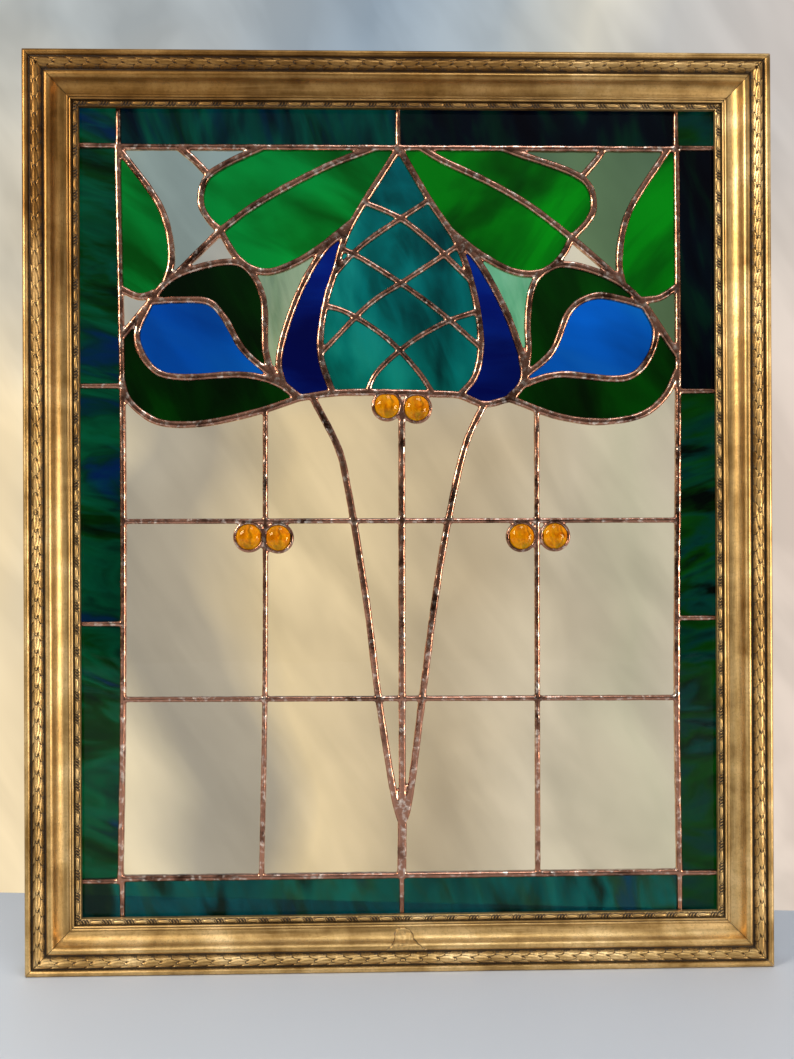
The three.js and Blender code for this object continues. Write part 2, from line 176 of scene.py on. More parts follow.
BUD_SEAMS: list[Seam] = [
    [TOP_CENTRE, (-32.5, 401), (-40.5, 376), (-46, 358), (-49.5, 326), (-42, 301)],
    [TOP_CENTRE, (20, 420), (35.5, 396.5), (46, 367), (51, 331), (47, 311), (37.5, 299.5)],
    [(-30.5, 404.5), (-46.5, 391), (-64, 360.5), (-75.5, 320.5), (-72.5, 306)],
    [(36, 397.5), (49, 384), (67, 351.5), (77, 324)],
    [BUD_FOOT_LEFT, (-42, 301), (-19, 301.5), (21, 300.5), (37.5, 299.5), (53, 294), BUD_FOOT_RIGHT],
]
LATTICE_SEAMS: list[Seam] = [
    [(-21.5, 420), (0, 410.5), (19, 396), (45, 371)],
    [(19.5, 422), (-24, 392.5), (-40.5, 375)],
    [(-36.5, 391.5), (-21, 383.5), (18.5, 357), (50.8, 329.5)],
    [(37.5, 393.5), (1, 369.5), (-17.5, 357.5), (-49.5, 325.5)],
    [(-46.5, 355.5), (-34.5, 352), (-9, 336), (11.5, 314.5), (21, 300.5)],
    [(49, 352), (32, 346.5), (7.5, 333), (-15, 313), (-20.5, 301.5)],
]
CROSSES_UP: Seam = [(-174.5, 454), (-0.5, 454), (174.5, 454)]
CROSSES_DOWN: Seam = [(-173.8, 0), (0, 0), (175, 0)]
CROSSES_LEFT: Seam = [(-175, 454.6), (-173.2, 305.5), (-172.6, 158), (-175, -1.5)]
CROSSES_RIGHT: Seam = [(175, 454.6), (175.6, 302), (174.7, 159.5), (175, -0.5)]

# Each gem hangs under a seam: the place on the seam, and how far below it the gem's middle is
GEMS: dict[str, tuple[Point, float]] = {
    "amber_gem_under_bud_left": ((-8, 301.4), 8.4),
    "amber_gem_under_bud_right": ((10.5, 300.9), 9.4),
    "amber_gem_left_outer": ((-94.5, 221.4), 9.9),
    "amber_gem_left_inner": ((-76.3, 221.4), 10.6),
    "amber_gem_right_inner": ((76, 221.1), 10.1),
    "amber_gem_right_outer": ((97, 221.1), 9.8),
}


# Sizes

@dataclass(frozen=True)
class PanelSizes:
    """The leaded panel's sizes in millimetres, the same as the solids'."""

    width: float = 406.4
    height: float = 512.0
    border_strip: float = 27.6
    glass: float = 3.0
    bead_height: float = 1.4
    face_gap: float = 0.2
    set_back: float = 5.7
    centre_z: float = -270.0
    gem_radius: float = 8.0
    gem_thickness: float = 7.5
    ring_inner: float = 7.8
    ring_outer: float = 9.9
    cartoon_width: float = 350.0
    cartoon_height: float = 454.0

    @property
    def field_width(self) -> float:
        """The width inside the border strip."""
        return self.width - 2 * self.border_strip

    @property
    def field_height(self) -> float:
        """The height inside the border strip."""
        return self.height - 2 * self.border_strip

    @property
    def bead_top(self) -> float:
        """How far a bead stands from the panel's middle plane."""
        return self.glass / 2 + self.face_gap + self.bead_height


@dataclass(frozen=True)
class FrameSizes:
    """The frame's sizes in millimetres, the same as the solids'."""

    rail_width: float = 32.0
    rebate_depth: float = 9.1
    rebate_edge: float = 27.0
    reach_x: float = 230.7
    reach_z: float = 283.5
    mitre_gap: float = 0.3
    centre_z: float = -270.0


# Tools for meshes and node trees

def new_object(name: str, mesh: bpy.types.Mesh) -> bpy.types.Object:
    """Links a mesh into the scene as an object at the origin.

    Args:
        name: The object's name.
        mesh: Its mesh, in metres, already in place.

    Returns:
        The new object.
    """
    mesh.name = name
    obj = bpy.data.objects.new(name, mesh)
    bpy.context.scene.collection.objects.link(obj)
    return obj


def mesh_from(name: str, points: Iterable[Vector], edges: Sequence = (),
              faces: Sequence = ()) -> bpy.types.Mesh:
    """Makes a mesh from plain lists.

    Args:
        name: The mesh's name.
        points: Vertex positions.
        edges: Pairs of vertex numbers.
        faces: Rings of vertex numbers.

    Returns:
        The new mesh.
    """
    mesh = bpy.data.meshes.new(name)
    mesh.from_pydata([tuple(p) for p in points], edges, faces)
    mesh.update()
    return mesh


def evaluated_mesh(obj: bpy.types.Object) -> bpy.types.Mesh:
    """Applies an object's modifiers to a plain mesh, and takes them off.

    Args:
        obj: The object.

    Returns:
        The new mesh; the object keeps its own.
    """
    graph = bpy.context.evaluated_depsgraph_get()
    graph.update()
    mesh = bpy.data.meshes.new_from_object(obj.evaluated_get(graph))
    obj.modifiers.clear()
    return mesh


def remove(obj: bpy.types.Object) -> None:
    """Deletes a working object, and its mesh if nothing else uses it.

    Args:
        obj: The object.
    """
    mesh = obj.data
    bpy.data.objects.remove(obj)
    if mesh.users == 0:
        bpy.data.meshes.remove(mesh)


def joined(name: str, meshes: Sequence[bpy.types.Mesh]) -> bpy.types.Mesh:
    """Puts several meshes together in one, with their attributes and materials kept.

    Args:
        name: The new mesh's name.
        meshes: Meshes that use the same materials.

    Returns:
        The joined mesh; the others are deleted.
    """
    objects = [new_object(f"{name}_{i}", mesh) for i, mesh in enumerate(meshes)]
    with bpy.context.temp_override(active_object=objects[0], object=objects[0], selected_objects=objects,
                                   selected_editable_objects=objects):
        bpy.ops.object.join()
    result = objects[0].data
    bpy.data.objects.remove(objects[0])
    result.name = name
    return result


def shade_smooth(mesh: bpy.types.Mesh, angle: Optional[float] = None) -> None:
    """Shades a mesh smooth.

    Args:
        mesh: The mesh.
        angle: Edges sharper than this, in degrees, stay sharp.
    """
    mesh.shade_smooth()
    if angle is not None:
        mesh.set_sharp_from_angle(angle=math.radians(angle))


def outward(mesh: bpy.types.Mesh) -> bpy.types.Mesh:
    """Turns a closed mesh's faces outwards.

    Args:
        mesh: The mesh.

    Returns:
        The same mesh.
    """
    work = bmesh.new()
    work.from_mesh(mesh)
    bmesh.ops.recalc_face_normals(work, faces=work.faces)
    work.to_mesh(mesh)
    work.free()
    return mesh


def slab(name: str, first: list[Vector], second: list[Vector]) -> bpy.types.Mesh:
    """A closed block between two rings of four corners."""
    faces = [(0, 1, 2, 3), (7, 6, 5, 4), (0, 4, 5, 1), (1, 5, 6, 2), (2, 6, 7, 3), (3, 7, 4, 0)]
    return outward(mesh_from(name, first + second, faces=faces))


def tube_faces(ring: int, stations: int) -> list[tuple[int, ...]]:
    """The faces between neighbouring rings of points in a tube, without its ends.

    Args:
        ring: Points to a ring.
        stations: Lengths between two rings.

    Returns:
        Rings of four vertex numbers.
    """
    starts = [(ring * i, ring * (i + 1)) for i in range(stations)]
    return [(a + j, b + j, b + (j + 1) % ring, a + (j + 1) % ring) for a, b in starts for j in range(ring)]


def keep_hollows(mesh: bpy.types.Mesh, hollows: Sequence[float]) -> bpy.types.Mesh:
    """Keeps on a mesh how dark the wash lies at each point, and returns it."""
    mesh.attributes.new("hollow", "FLOAT", "POINT").data.foreach_set("value", hollows)
    return mesh


class NodeTools:
    """Adds nodes to a tree: a material's, the world's or one of geometry."""

    def __init__(self, tree: bpy.types.NodeTree) -> None:
        """Keeps the tree's nodes and links."""
        self.nodes = tree.nodes
        self.links = tree.links

    def node(self, kind: str, inputs: Optional[dict] = None, **settings: object) -> bpy.types.Node:
        """Adds a node.

        Args:
            kind: The node's type.
            inputs: Values or sockets to link, by input name or number.
            settings: Properties of the node itself.

        Returns:
            The node.
        """
        node = self.nodes.new(kind)
        for key, value in settings.items():
            setattr(node, key, value)
        for key, value in (inputs or {}).items():
            if isinstance(value, bpy.types.NodeSocket):
                self.links.new(value, node.inputs[key])
            else:
                node.inputs[key].default_value = value
        return node

    def noise(self, vector: bpy.types.NodeSocket, scale: float, detail: float = 3.0, roughness: float = 0.5,
              distortion: float = 0.0, seed: Feed = 0.0) -> bpy.types.NodeSocket:
        """Adds a smooth noise.

        Args:
            vector: Where it is read.
            scale: Its scale.
            detail: Its finer layers.
            roughness: How strong those are.
            distortion: How far it is pulled about.
            seed: Its fixed seed.

        Returns:
            The noise, from 0 to 1.
        """
        return self.node("ShaderNodeTexNoise",
                         {"Vector": vector, "Scale": scale, "Detail": detail, "Roughness": roughness,
                          "Distortion": distortion, "W": seed}, noise_dimensions="4D").outputs["Fac"]

    def ramp(self, factor: bpy.types.NodeSocket, stops: Stops) -> bpy.types.NodeSocket:
        """Adds a colour ramp.

        Args:
            factor: What it is read by.
            stops: Its stops, each a place and a colour.

        Returns:
            The colour.
        """
        ramp = self.node("ShaderNodeValToRGB", {"Fac": factor})
        elements = ramp.color_ramp.elements
        while len(elements) < len(stops):
            elements.new(0.5)
        for element, (where, colour) in zip(elements, stops):
            element.position = where
            element.color = (*colour, 1.0)
        return ramp.outputs["Color"]

    def mixed(self, factor: Feed, a: Feed, b: Feed, blend: str = "MIX") -> bpy.types.NodeSocket:
        """Mixes two colours.

        Args:
            factor: The share of the second, a socket or a number.
            a: The first, a socket or a plain colour.
            b: The second.
            blend: The way they are mixed.

        Returns:
            The mixed colour.
        """
        node = self.node("ShaderNodeMix", data_type="RGBA", blend_type=blend)
        for socket, value in ((node.inputs["Factor"], factor), (node.inputs[6], a), (node.inputs[7], b)):
            if isinstance(value, bpy.types.NodeSocket):
                self.links.new(value, socket)
            elif isinstance(value, tuple):
                socket.default_value = (*value, 1.0)
            else:
                socket.default_value = value
        return node.outputs[2]

    def spread(self, value: bpy.types.NodeSocket, low: Feed, high: Feed, start: float = 0.0,
               end: float = 1.0) -> bpy.types.NodeSocket:
        """Maps a value to a new span and holds it at both ends.

        Args:
            value: What is mapped.
            low: The new value at the start.
            high: The new value at the end.
            start: Where the old span starts.
            end: Where it ends.

        Returns:
            The new value.
        """
        return self.node("ShaderNodeMapRange", {"Value": value, "From Min": start, "From Max": end,
                                                "To Min": low, "To Max": high}).outputs[0]

    def maths(self, operation: str, a: Feed, b: Feed) -> bpy.types.NodeSocket:
        """Adds a math node on two sockets or numbers."""
        return self.node("ShaderNodeMath", {0: a, 1: b}, operation=operation).outputs[0]


class GrowthTree(NodeTools):
    """A geometry node tree with named inputs, grown on an object and read back as a plain mesh."""

    def __init__(self, name: str) -> None:
        """Starts a tree with one geometry going in and one coming out.

        Args:
            name: The tree's name.
        """
        self.tree = bpy.data.node_groups.new(name, "GeometryNodeTree")
        super().__init__(self.tree)
        self.ids: dict[str, str] = {}
        for way in ("INPUT", "OUTPUT"):
            self.tree.interface.new_socket(name="Geometry", in_out=way, socket_type="NodeSocketGeometry")
        self.start = self.nodes.new("NodeGroupInput")
        self.end = self.nodes.new("NodeGroupOutput")

    def named(self, name: str, kind: str, value: object = None) -> bpy.types.NodeSocket:
        """Adds a named input.

        Args:
            name: The input's name.
            kind: The socket type's last word, such as Float, Int or Material.
            value: Its default.

        Returns:
            The socket to link from.
        """
        socket = self.tree.interface.new_socket(name=name, in_out="INPUT", socket_type=f"NodeSocket{kind}")
        if value is not None:
            socket.default_value = value
        self.ids[name] = socket.identifier
        return self.start.outputs[name]

    def finish(self, geometry: bpy.types.NodeSocket, material: bpy.types.NodeSocket) -> None:
        """Ends the tree in Realize Instances and Set Material.

        Args:
            geometry: What has grown.
            material: Its material.
        """
        real = self.node("GeometryNodeRealizeInstances", {"Geometry": geometry})
        dressed = self.node("GeometryNodeSetMaterial", {"Geometry": real.outputs[0], "Material": material})
        self.links.new(dressed.outputs[0], self.end.inputs[0])

    def grow(self, name: str, seed_mesh: bpy.types.Mesh, **values: object) -> bpy.types.Mesh:
        """Grows the tree on a mesh.

        Args:
            name: The name of the result.
            seed_mesh: The mesh the tree starts from.
            values: The named inputs, with spaces written as underscores.

        Returns:
            The result as a plain mesh.
        """
        obj = new_object(name, seed_mesh)
        modifier = obj.modifiers.new("growth", "NODES")
        modifier.node_group = self.tree
        for key, value in values.items():
            modifier[self.ids[key.replace("_", " ")]] = value
        mesh = evaluated_mesh(obj)
        remove(obj)
        mesh.name = name
        return mesh


class ShaderTree(NodeTools):
    """A material's node tree around one Principled shader."""

    def __init__(self, name: str) -> None:
        """Makes the material and finds its shader.

        Args:
            name: The material's name.
        """
        self.material = bpy.data.materials.new(name)
        self.material.use_nodes = True
        super().__init__(self.material.node_tree)
        self.shader = self.nodes["Principled BSDF"]
        self._coordinates: Optional[bpy.types.NodeSocket] = None

    def plain(self, **values: object) -> None:
        """Sets numbers on the shader's own sockets, with spaces written as underscores."""
        for key, value in values.items():
            self.shader.inputs[key.replace("_", " ")].default_value = value

    def colour(self, source: bpy.types.NodeSocket) -> None:
        """Links the base colour."""
        self.links.new(source, self.shader.inputs["Base Color"])

    def place(self) -> bpy.types.NodeSocket:
        """The object coordinates, in metres, from one node that the whole tree shares.

        Returns:
            The coordinates.
        """
        if self._coordinates is None:
            self._coordinates = self.node("ShaderNodeTexCoord").outputs["Object"]
        return self._coordinates

    def stretched(self, scale: Sequence[float], turn: float = 0.0) -> bpy.types.NodeSocket:
        """Object coordinates turned in the panel's plane and scaled.

        Args:
            scale: Three factors.
            turn: The turn about the Y axis in degrees.

        Returns:
            The new coordinates.
        """
        turned = self.node("ShaderNodeMapping", {"Vector": self.place(),
                                                 "Rotation": (0.0, math.radians(turn), 0.0)})
        return self.node("ShaderNodeMapping", {"Vector": turned.outputs[0], "Scale": tuple(scale)}).outputs[0]

    def along_rail(self, scale: Sequence[float]) -> bpy.types.NodeSocket:
        """Coordinates that follow a rail of the frame, scaled."""
        run = self.node("ShaderNodeAttribute", attribute_name="run").outputs["Vector"]
        return self.node("ShaderNodeMapping", {"Vector": run, "Scale": tuple(scale)}).outputs[0]

    def bump(self, height: bpy.types.NodeSocket, distance: float, strength: float = 1.0) -> None:
        """Adds relief to the shader's normal, on top of any relief already there.

        Args:
            height: The relief.
            distance: Its depth in metres.
            strength: Its strength.
        """
        normal = self.shader.inputs["Normal"]
        inputs = {"Height": height, "Distance": distance, "Strength": strength}
        if normal.is_linked:
            inputs["Normal"] = normal.links[0].from_socket
        self.links.new(self.node("ShaderNodeBump", inputs).outputs[0], normal)


# Finishes: each glass and each coat names the slot of the solids' material that it stands for

GLASS_IOR = 1.45
GLASS_GLEAM = (0.35, 0.35, 0.35, 1.0)
AMBER_GLEAM = (0.6, 0.5, 0.3, 1.0)


def shaded(colour: Colour, share: float = 0.93) -> Colour:
    """A colour made a little darker."""
    return tuple(share * c for c in colour)


@dataclass(frozen=True)
class StreakyGlass:
    """Rolled art glass: colours drawn out in soft streaks, with wisps of another colour through them."""

    name: str
    slot: str
    stops: Stops
    wisp: Colour
    wisps: float = 0.5
    turn: float = 0.0
    stretch: float = 2.6
    scale: float = 20.0
    distortion: float = 0.8
    seed: float = 0.0
    roughness: float = 0.05
    ripple: float = 0.22

    def material(self) -> bpy.types.Material:
        """Builds the material.

        Returns:
            The material.
        """
        tree = ShaderTree(self.name)
        tree.plain(Transmission_Weight=1.0, Roughness=self.roughness, IOR=GLASS_IOR,
                   Specular_Tint=GLASS_GLEAM)
        along = tree.stretched((1.0, 1.0, 1.0 / self.stretch), self.turn)
        fine = tree.stretched((1.0, 1.0, 0.5 / self.stretch), self.turn + 8.0)
        streaks = tree.noise(along, self.scale, 4.0, 0.5, self.distortion, self.seed)
        threads = tree.noise(fine, 2.1 * self.scale, 3.0, 0.55, 1.4 * self.distortion, self.seed + 3)
        drawn = tree.spread(threads, 0.0, self.wisps, 0.5, 0.66)
        tree.colour(tree.mixed(drawn, tree.ramp(streaks, self.stops), self.wisp))
        tree.bump(tree.noise(along, self.scale * 2.2, 2.0, 0.5, 0.3, self.seed + 5), self.ripple * MM)
        return tree.material


@dataclass(frozen=True)
class ClearGlass:
    """Window glass with slow waves in it and a tint, which for the green panes is a painted shadow."""

    name: str
    tint_and_shadow: Colour
    slot: str = "clear_glass"
    ripple: float = 0.08
    seed: float = 0.0

    def material(self) -> bpy.types.Material:
        """Builds the material.

        Returns:
            The material.
        """
        tree = ShaderTree(self.name)
        tree.plain(Transmission_Weight=1.0, Roughness=0.02, IOR=GLASS_IOR, Specular_Tint=GLASS_GLEAM)
        clouds = tree.noise(tree.place(), 16.0, 2.0, 0.5, 0.6, self.seed + 2)
        tree.colour(tree.ramp(clouds, ((0.35, shaded(self.tint_and_shadow)), (0.62, self.tint_and_shadow))))
        waves = tree.noise(tree.stretched((1.0, 1.0, 0.45), 24.0), 26.0, 2.0, 0.45, 0.8, self.seed)
        tree.bump(waves, self.ripple * MM)
        return tree.material


@dataclass(frozen=True)
class AmberGlass:
    """Pressed amber glass with darker swirls through it."""

    name: str
    stops: Stops
    slot: str = "amber_glass"
    seed: float = 0.0

    def material(self) -> bpy.types.Material:
        """Builds the material.

        Returns:
            The material.
        """
        tree = ShaderTree(self.name)
        tree.plain(Transmission_Weight=0.98, Roughness=0.03, IOR=1.5, Specular_Tint=AMBER_GLEAM)
        swirls = tree.noise(tree.place(), 120.0, 3.0, 0.55, 2.2, self.seed)
        tree.colour(tree.ramp(swirls, self.stops))
        tree.bump(tree.noise(tree.place(), 260.0, 2.0, 0.5, 0.0, self.seed), 0.15 * MM)
        return tree.material


@dataclass(frozen=True)
class PatinatedSolder:
    """Solder with a copper-brown patina, and scattered pale patches that are partly rubbed solder and partly
    a painted highlight.
    """

    name: str
    dark: Colour
    copper: Colour
    painted_glint: Colour
    slot: str = "solder"

    def material(self) -> bpy.types.Material:
        """Builds the material.

        Returns:
            The material.
        """
        tree = ShaderTree(self.name)
        tree.plain(Metallic=0.95)
        patches = tree.noise(tree.place(), 60.0, 4.0, 0.6, 0.4, 1.0)
        rubbed = tree.noise(tree.place(), 240.0, 3.0, 0.6, 0.0, 2.0)
        base = tree.ramp(patches, ((0.34, self.dark), (0.50, self.copper)))
        # Painted highlight: pale cream patches scattered over the patina, partly bare rubbed solder.
        tree.colour(tree.mixed(tree.spread(rubbed, 0.0, 0.8, 0.52, 0.68), base, self.painted_glint))
        tree.links.new(tree.spread(patches, 0.12, 0.28, 0.3, 0.7), tree.shader.inputs["Roughness"])
        tree.bump(tree.noise(tree.place(), 330.0, 2.0, 0.5, 0.5, 3.0), 0.16 * MM)
        return tree.material


@dataclass(frozen=True)
class WornGilding:
    """Bronze-gold leaf over a moulding, darkened by painted shade towards its top left corner, with a dark
    wash left in its hollows.
    """

    name: str
    pale: Colour
    gold: Colour
    brown: Colour
    wash: Colour
    painted_corner_shade: Colour
    slot: str = "gilded_wood"

    def material(self) -> bpy.types.Material:
        """Builds the material.

        Returns:
            The material.
        """
        tree = ShaderTree(self.name)
        hollow = tree.node("ShaderNodeAttribute", attribute_name="hollow").outputs["Fac"]
        patches = tree.noise(tree.place(), 30.0, 4.0, 0.6, 0.3, 4.0)
        brushed = tree.noise(tree.along_rail((14.0, 420.0, 420.0)), 1.0, 4.0, 0.6, 0.2, 6.0)
        specks = tree.noise(tree.place(), 620.0, 3.0, 0.6, 0.0, 8.0)
        base = tree.ramp(patches, ((0.34, self.brown), (0.5, self.gold), (0.68, self.pale)))
        base = tree.mixed(tree.spread(brushed, 0.0, 0.4, 0.48, 0.72), base, self.pale)
        base = tree.mixed(tree.spread(brushed, 0.35, 0.0, 0.28, 0.46), base, self.brown)
        base = tree.mixed(tree.spread(specks, 0.35, 0.0, 0.34, 0.5), base, self.brown)
        # Painted shade: the gold is multiplied darker towards the top left corner, where less light falls.
        base = tree.mixed(self.painted_corner_shading(tree), base, self.painted_corner_shade, "MULTIPLY")
        worn = tree.maths("ADD", hollow, tree.spread(specks, -0.2, 0.2, 0.3, 0.7))
        washed = tree.spread(worn, 0.0, 0.94, 0.38, 0.85)
        tree.colour(tree.mixed(washed, base, self.wash))
        tree.links.new(tree.spread(washed, 0.9, 0.35), tree.shader.inputs["Metallic"])
        tree.links.new(tree.spread(brushed, 0.33, 0.48, 0.3, 0.7), tree.shader.inputs["Roughness"])
        tree.bump(specks, 0.12 * MM)
        tree.bump(brushed, 0.08 * MM)
        return tree.material

    def painted_corner_shading(self, tree: ShaderTree) -> bpy.types.NodeSocket:
        """How far painted shade darkens the gold: most at the top left corner, least at the right and below.

        Args:
            tree: The material's tree.

        Returns:
            The share of painted shade, from 0 to 1.
        """
        split = tree.node("ShaderNodeSeparateXYZ", {0: tree.stretched((1.0, 1.0, 1.0), 27.0)})
        uneven = tree.spread(tree.noise(tree.place(), 9.0, 2.0, 0.5, 0.0, 9.0), -0.05, 0.05, 0.3, 0.7)
        return tree.spread(tree.maths("ADD", split.outputs["Z"], uneven), 0.0, 1.0, -0.13, 0.03)


@dataclass(frozen=True)
class RawWood:
    """Bare stained wood on the sides of a frame that nobody sees."""

    name: str
    light: Colour
    dark: Colour

    def material(self) -> bpy.types.Material:
        """Builds the material.

        Returns:
            The material.
        """
        tree = ShaderTree(self.name)
        grain = tree.noise(tree.along_rail((9.0, 260.0, 260.0)), 1.0, 5.0, 0.6, 0.6, 11.0)
        tree.colour(tree.ramp(grain, ((0.32, self.dark), (0.66, self.light))))
        tree.plain(Roughness=0.72)
        tree.bump(grain, 0.2 * MM)
        return tree.material


@dataclass(frozen=True)
class PaleFloor:
    """The plain pale floor."""

    name: str
    colour: Colour

    def material(self) -> bpy.types.Material:
        """Builds the material.

        Returns:
            The material.
        """
        tree = ShaderTree(self.name)
        soft = tree.noise(tree.place(), 3.0, 2.0, 0.5, 0.0, 20.0)
        tree.colour(tree.ramp(soft, ((0.35, shaded(self.colour)), (0.65, self.colour))))
        tree.plain(Roughness=0.55)
        return tree.material


GlassFinish = Union[StreakyGlass, ClearGlass]

BORDER_LEFT = StreakyGlass("border_glass_left", "border_glass", (
    (0.37, (0.0005, 0.005, 0.003)), (0.46, (0.001, 0.035, 0.003)), (0.53, (0.001, 0.10, 0.05)),
    (0.60, (0.001, 0.03, 0.02)), (0.67, (0.001, 0.02, 0.14))), (0.001, 0.12, 0.085),
    wisps=0.42, turn=74, seed=41, scale=28, distortion=1.3)
BORDER_RIGHT = StreakyGlass("border_glass_right", "border_glass", (
    (0.37, (0.0005, 0.003, 0.002)), (0.45, (0.001, 0.045, 0.04)), (0.52, (0.002, 0.05, 0.003)),
    (0.59, (0.001, 0.015, 0.004)), (0.66, (0.001, 0.06, 0.065))), (0.004, 0.11, 0.006),
    wisps=0.42, turn=102, seed=47, scale=28, distortion=1.3)
BORDER_NIGHT = StreakyGlass("border_glass_night", "border_glass", (
    (0.40, (0.0004, 0.0006, 0.004)), (0.52, (0.0008, 0.004, 0.010)), (0.60, (0.001, 0.03, 0.016)),
    (0.70, (0.001, 0.01, 0.05))), (0.001, 0.03, 0.012), wisps=0.35,
    turn=8, seed=61, scale=24, distortion=1.2)
BORDER_TOP = StreakyGlass("border_glass_top", "border_glass", (
    (0.36, (0.0005, 0.006, 0.012)), (0.45, (0.001, 0.04, 0.035)), (0.53, (0.001, 0.11, 0.07)),
    (0.62, (0.001, 0.03, 0.015)), (0.70, (0.001, 0.015, 0.13))), (0.001, 0.02, 0.08),
    turn=12, seed=53, scale=24, distortion=1.2)
BORDER_BOTTOM = StreakyGlass("border_glass_bottom", "border_glass", (
    (0.37, (0.002, 0.02, 0.012)), (0.46, (0.001, 0.09, 0.10)), (0.54, (0.003, 0.15, 0.16)),
    (0.61, (0.012, 0.07, 0.04)), (0.68, (0.002, 0.06, 0.16))), (0.02, 0.07, 0.015),
    turn=15, seed=59, scale=28, distortion=1.3)
LEAF_LEFT = StreakyGlass("leaf_green_glass_left", "leaf_glass_left", (
    (0.38, (0.001, 0.12, 0.008)), (0.47, (0.001, 0.27, 0.030)), (0.58, (0.001, 0.45, 0.065))),
    (0.001, 0.16, 0.010), wisps=0.6, turn=52, seed=5, scale=16, distortion=1.1)
LEAF_RIGHT = StreakyGlass("leaf_green_glass_right", "leaf_glass_right", (
    (0.38, (0.001, 0.055, 0.001)), (0.48, (0.001, 0.15, 0.004)), (0.60, (0.001, 0.36, 0.009))),
    (0.001, 0.07, 0.004), wisps=0.6, turn=-48, seed=8, scale=16, distortion=1.1)
PETAL = StreakyGlass("petal_green_glass", "petal_glass", (
    (0.36, (0.001, 0.010, 0.001)), (0.52, (0.001, 0.026, 0.001)), (0.66, (0.001, 0.085, 0.003))),
    (0.001, 0.06, 0.002), wisps=0.4, turn=20, seed=13)
DROP = StreakyGlass("drop_blue_glass", "drop_glass", (
    (0.34, (0.001, 0.09, 0.60)), (0.5, (0.001, 0.15, 0.95)), (0.66, (0.003, 0.20, 1.0))),
    (0.006, 0.17, 0.85), wisps=0.5, turn=60, seed=17, scale=15)
BUD_SIDE = StreakyGlass("bud_side_blue_glass", "bud_side_glass", (
    (0.38, (0.0006, 0.003, 0.12)), (0.5, (0.001, 0.014, 0.29)), (0.62, (0.002, 0.05, 0.52))),
    (0.001, 0.035, 0.46), wisps=0.4, turn=80, seed=19, scale=15)
LATTICE = StreakyGlass("bud_teal_glass", "lattice_glass", (
    (0.36, (0.001, 0.06, 0.07)), (0.45, (0.001, 0.13, 0.14)), (0.54, (0.001, 0.22, 0.24)),
    (0.66, (0.008, 0.36, 0.37))), (0.001, 0.34, 0.38), wisps=0.4,
    turn=15, seed=23, scale=24, stretch=2.0, distortion=1.1)
WEDGE_LEFT = StreakyGlass("wedge_pale_glass_left", "wedge_glass", (
    (0.36, (0.16, 0.34, 0.22)), (0.62, (0.42, 0.62, 0.48))), (0.60, 0.78, 0.66),
    turn=10, seed=29, scale=40, ripple=0.5)
WEDGE_RIGHT = StreakyGlass("wedge_pale_glass_right", "wedge_glass", (
    (0.36, (0.10, 0.50, 0.28)), (0.62, (0.28, 0.84, 0.55))), (0.40, 0.92, 0.66),
    turn=10, seed=31, scale=40, ripple=0.5)
CLEAR = ClearGlass("clear_glass", (0.88, 0.87, 0.80))
CLEAR_COOL = ClearGlass("clear_glass_cool", (0.56, 0.68, 0.64), seed=3)
# Painted shadow: clear glass darkened and tinted green for the green shadow cast on the wall behind these
# panes.
CLEAR_IN_GREEN_SHADOW = ClearGlass("clear_glass_green_shadow", (0.15, 0.27, 0.16), seed=7)
AMBER = AmberGlass("amber_glass", ((0.3, (0.55, 0.12, 0.001)), (0.5, (0.95, 0.36, 0.002)),
                                   (0.72, (1.0, 0.52, 0.01))))
# The last colour is a painted highlight, laid on in scattered patches.
SOLDER = PatinatedSolder("patinated_solder", (0.09, 0.038, 0.022), (0.42, 0.200, 0.13), (1.0, 0.85, 0.72))
# The last colour is the painted shade multiplied over the top left corner.
GILDING = WornGilding("worn_gilding", (0.92, 0.66, 0.32), (0.60, 0.385, 0.145), (0.29, 0.16, 0.045),
                      (0.022, 0.011, 0.005), (0.46, 0.36, 0.24))
BACK_WOOD = RawWood("bare_back_wood", (0.30, 0.20, 0.11), (0.15, 0.09, 0.045))
FLOOR = PaleFloor("pale_floor", (0.60, 0.66, 0.76))


# The cartoon laid out on the panel

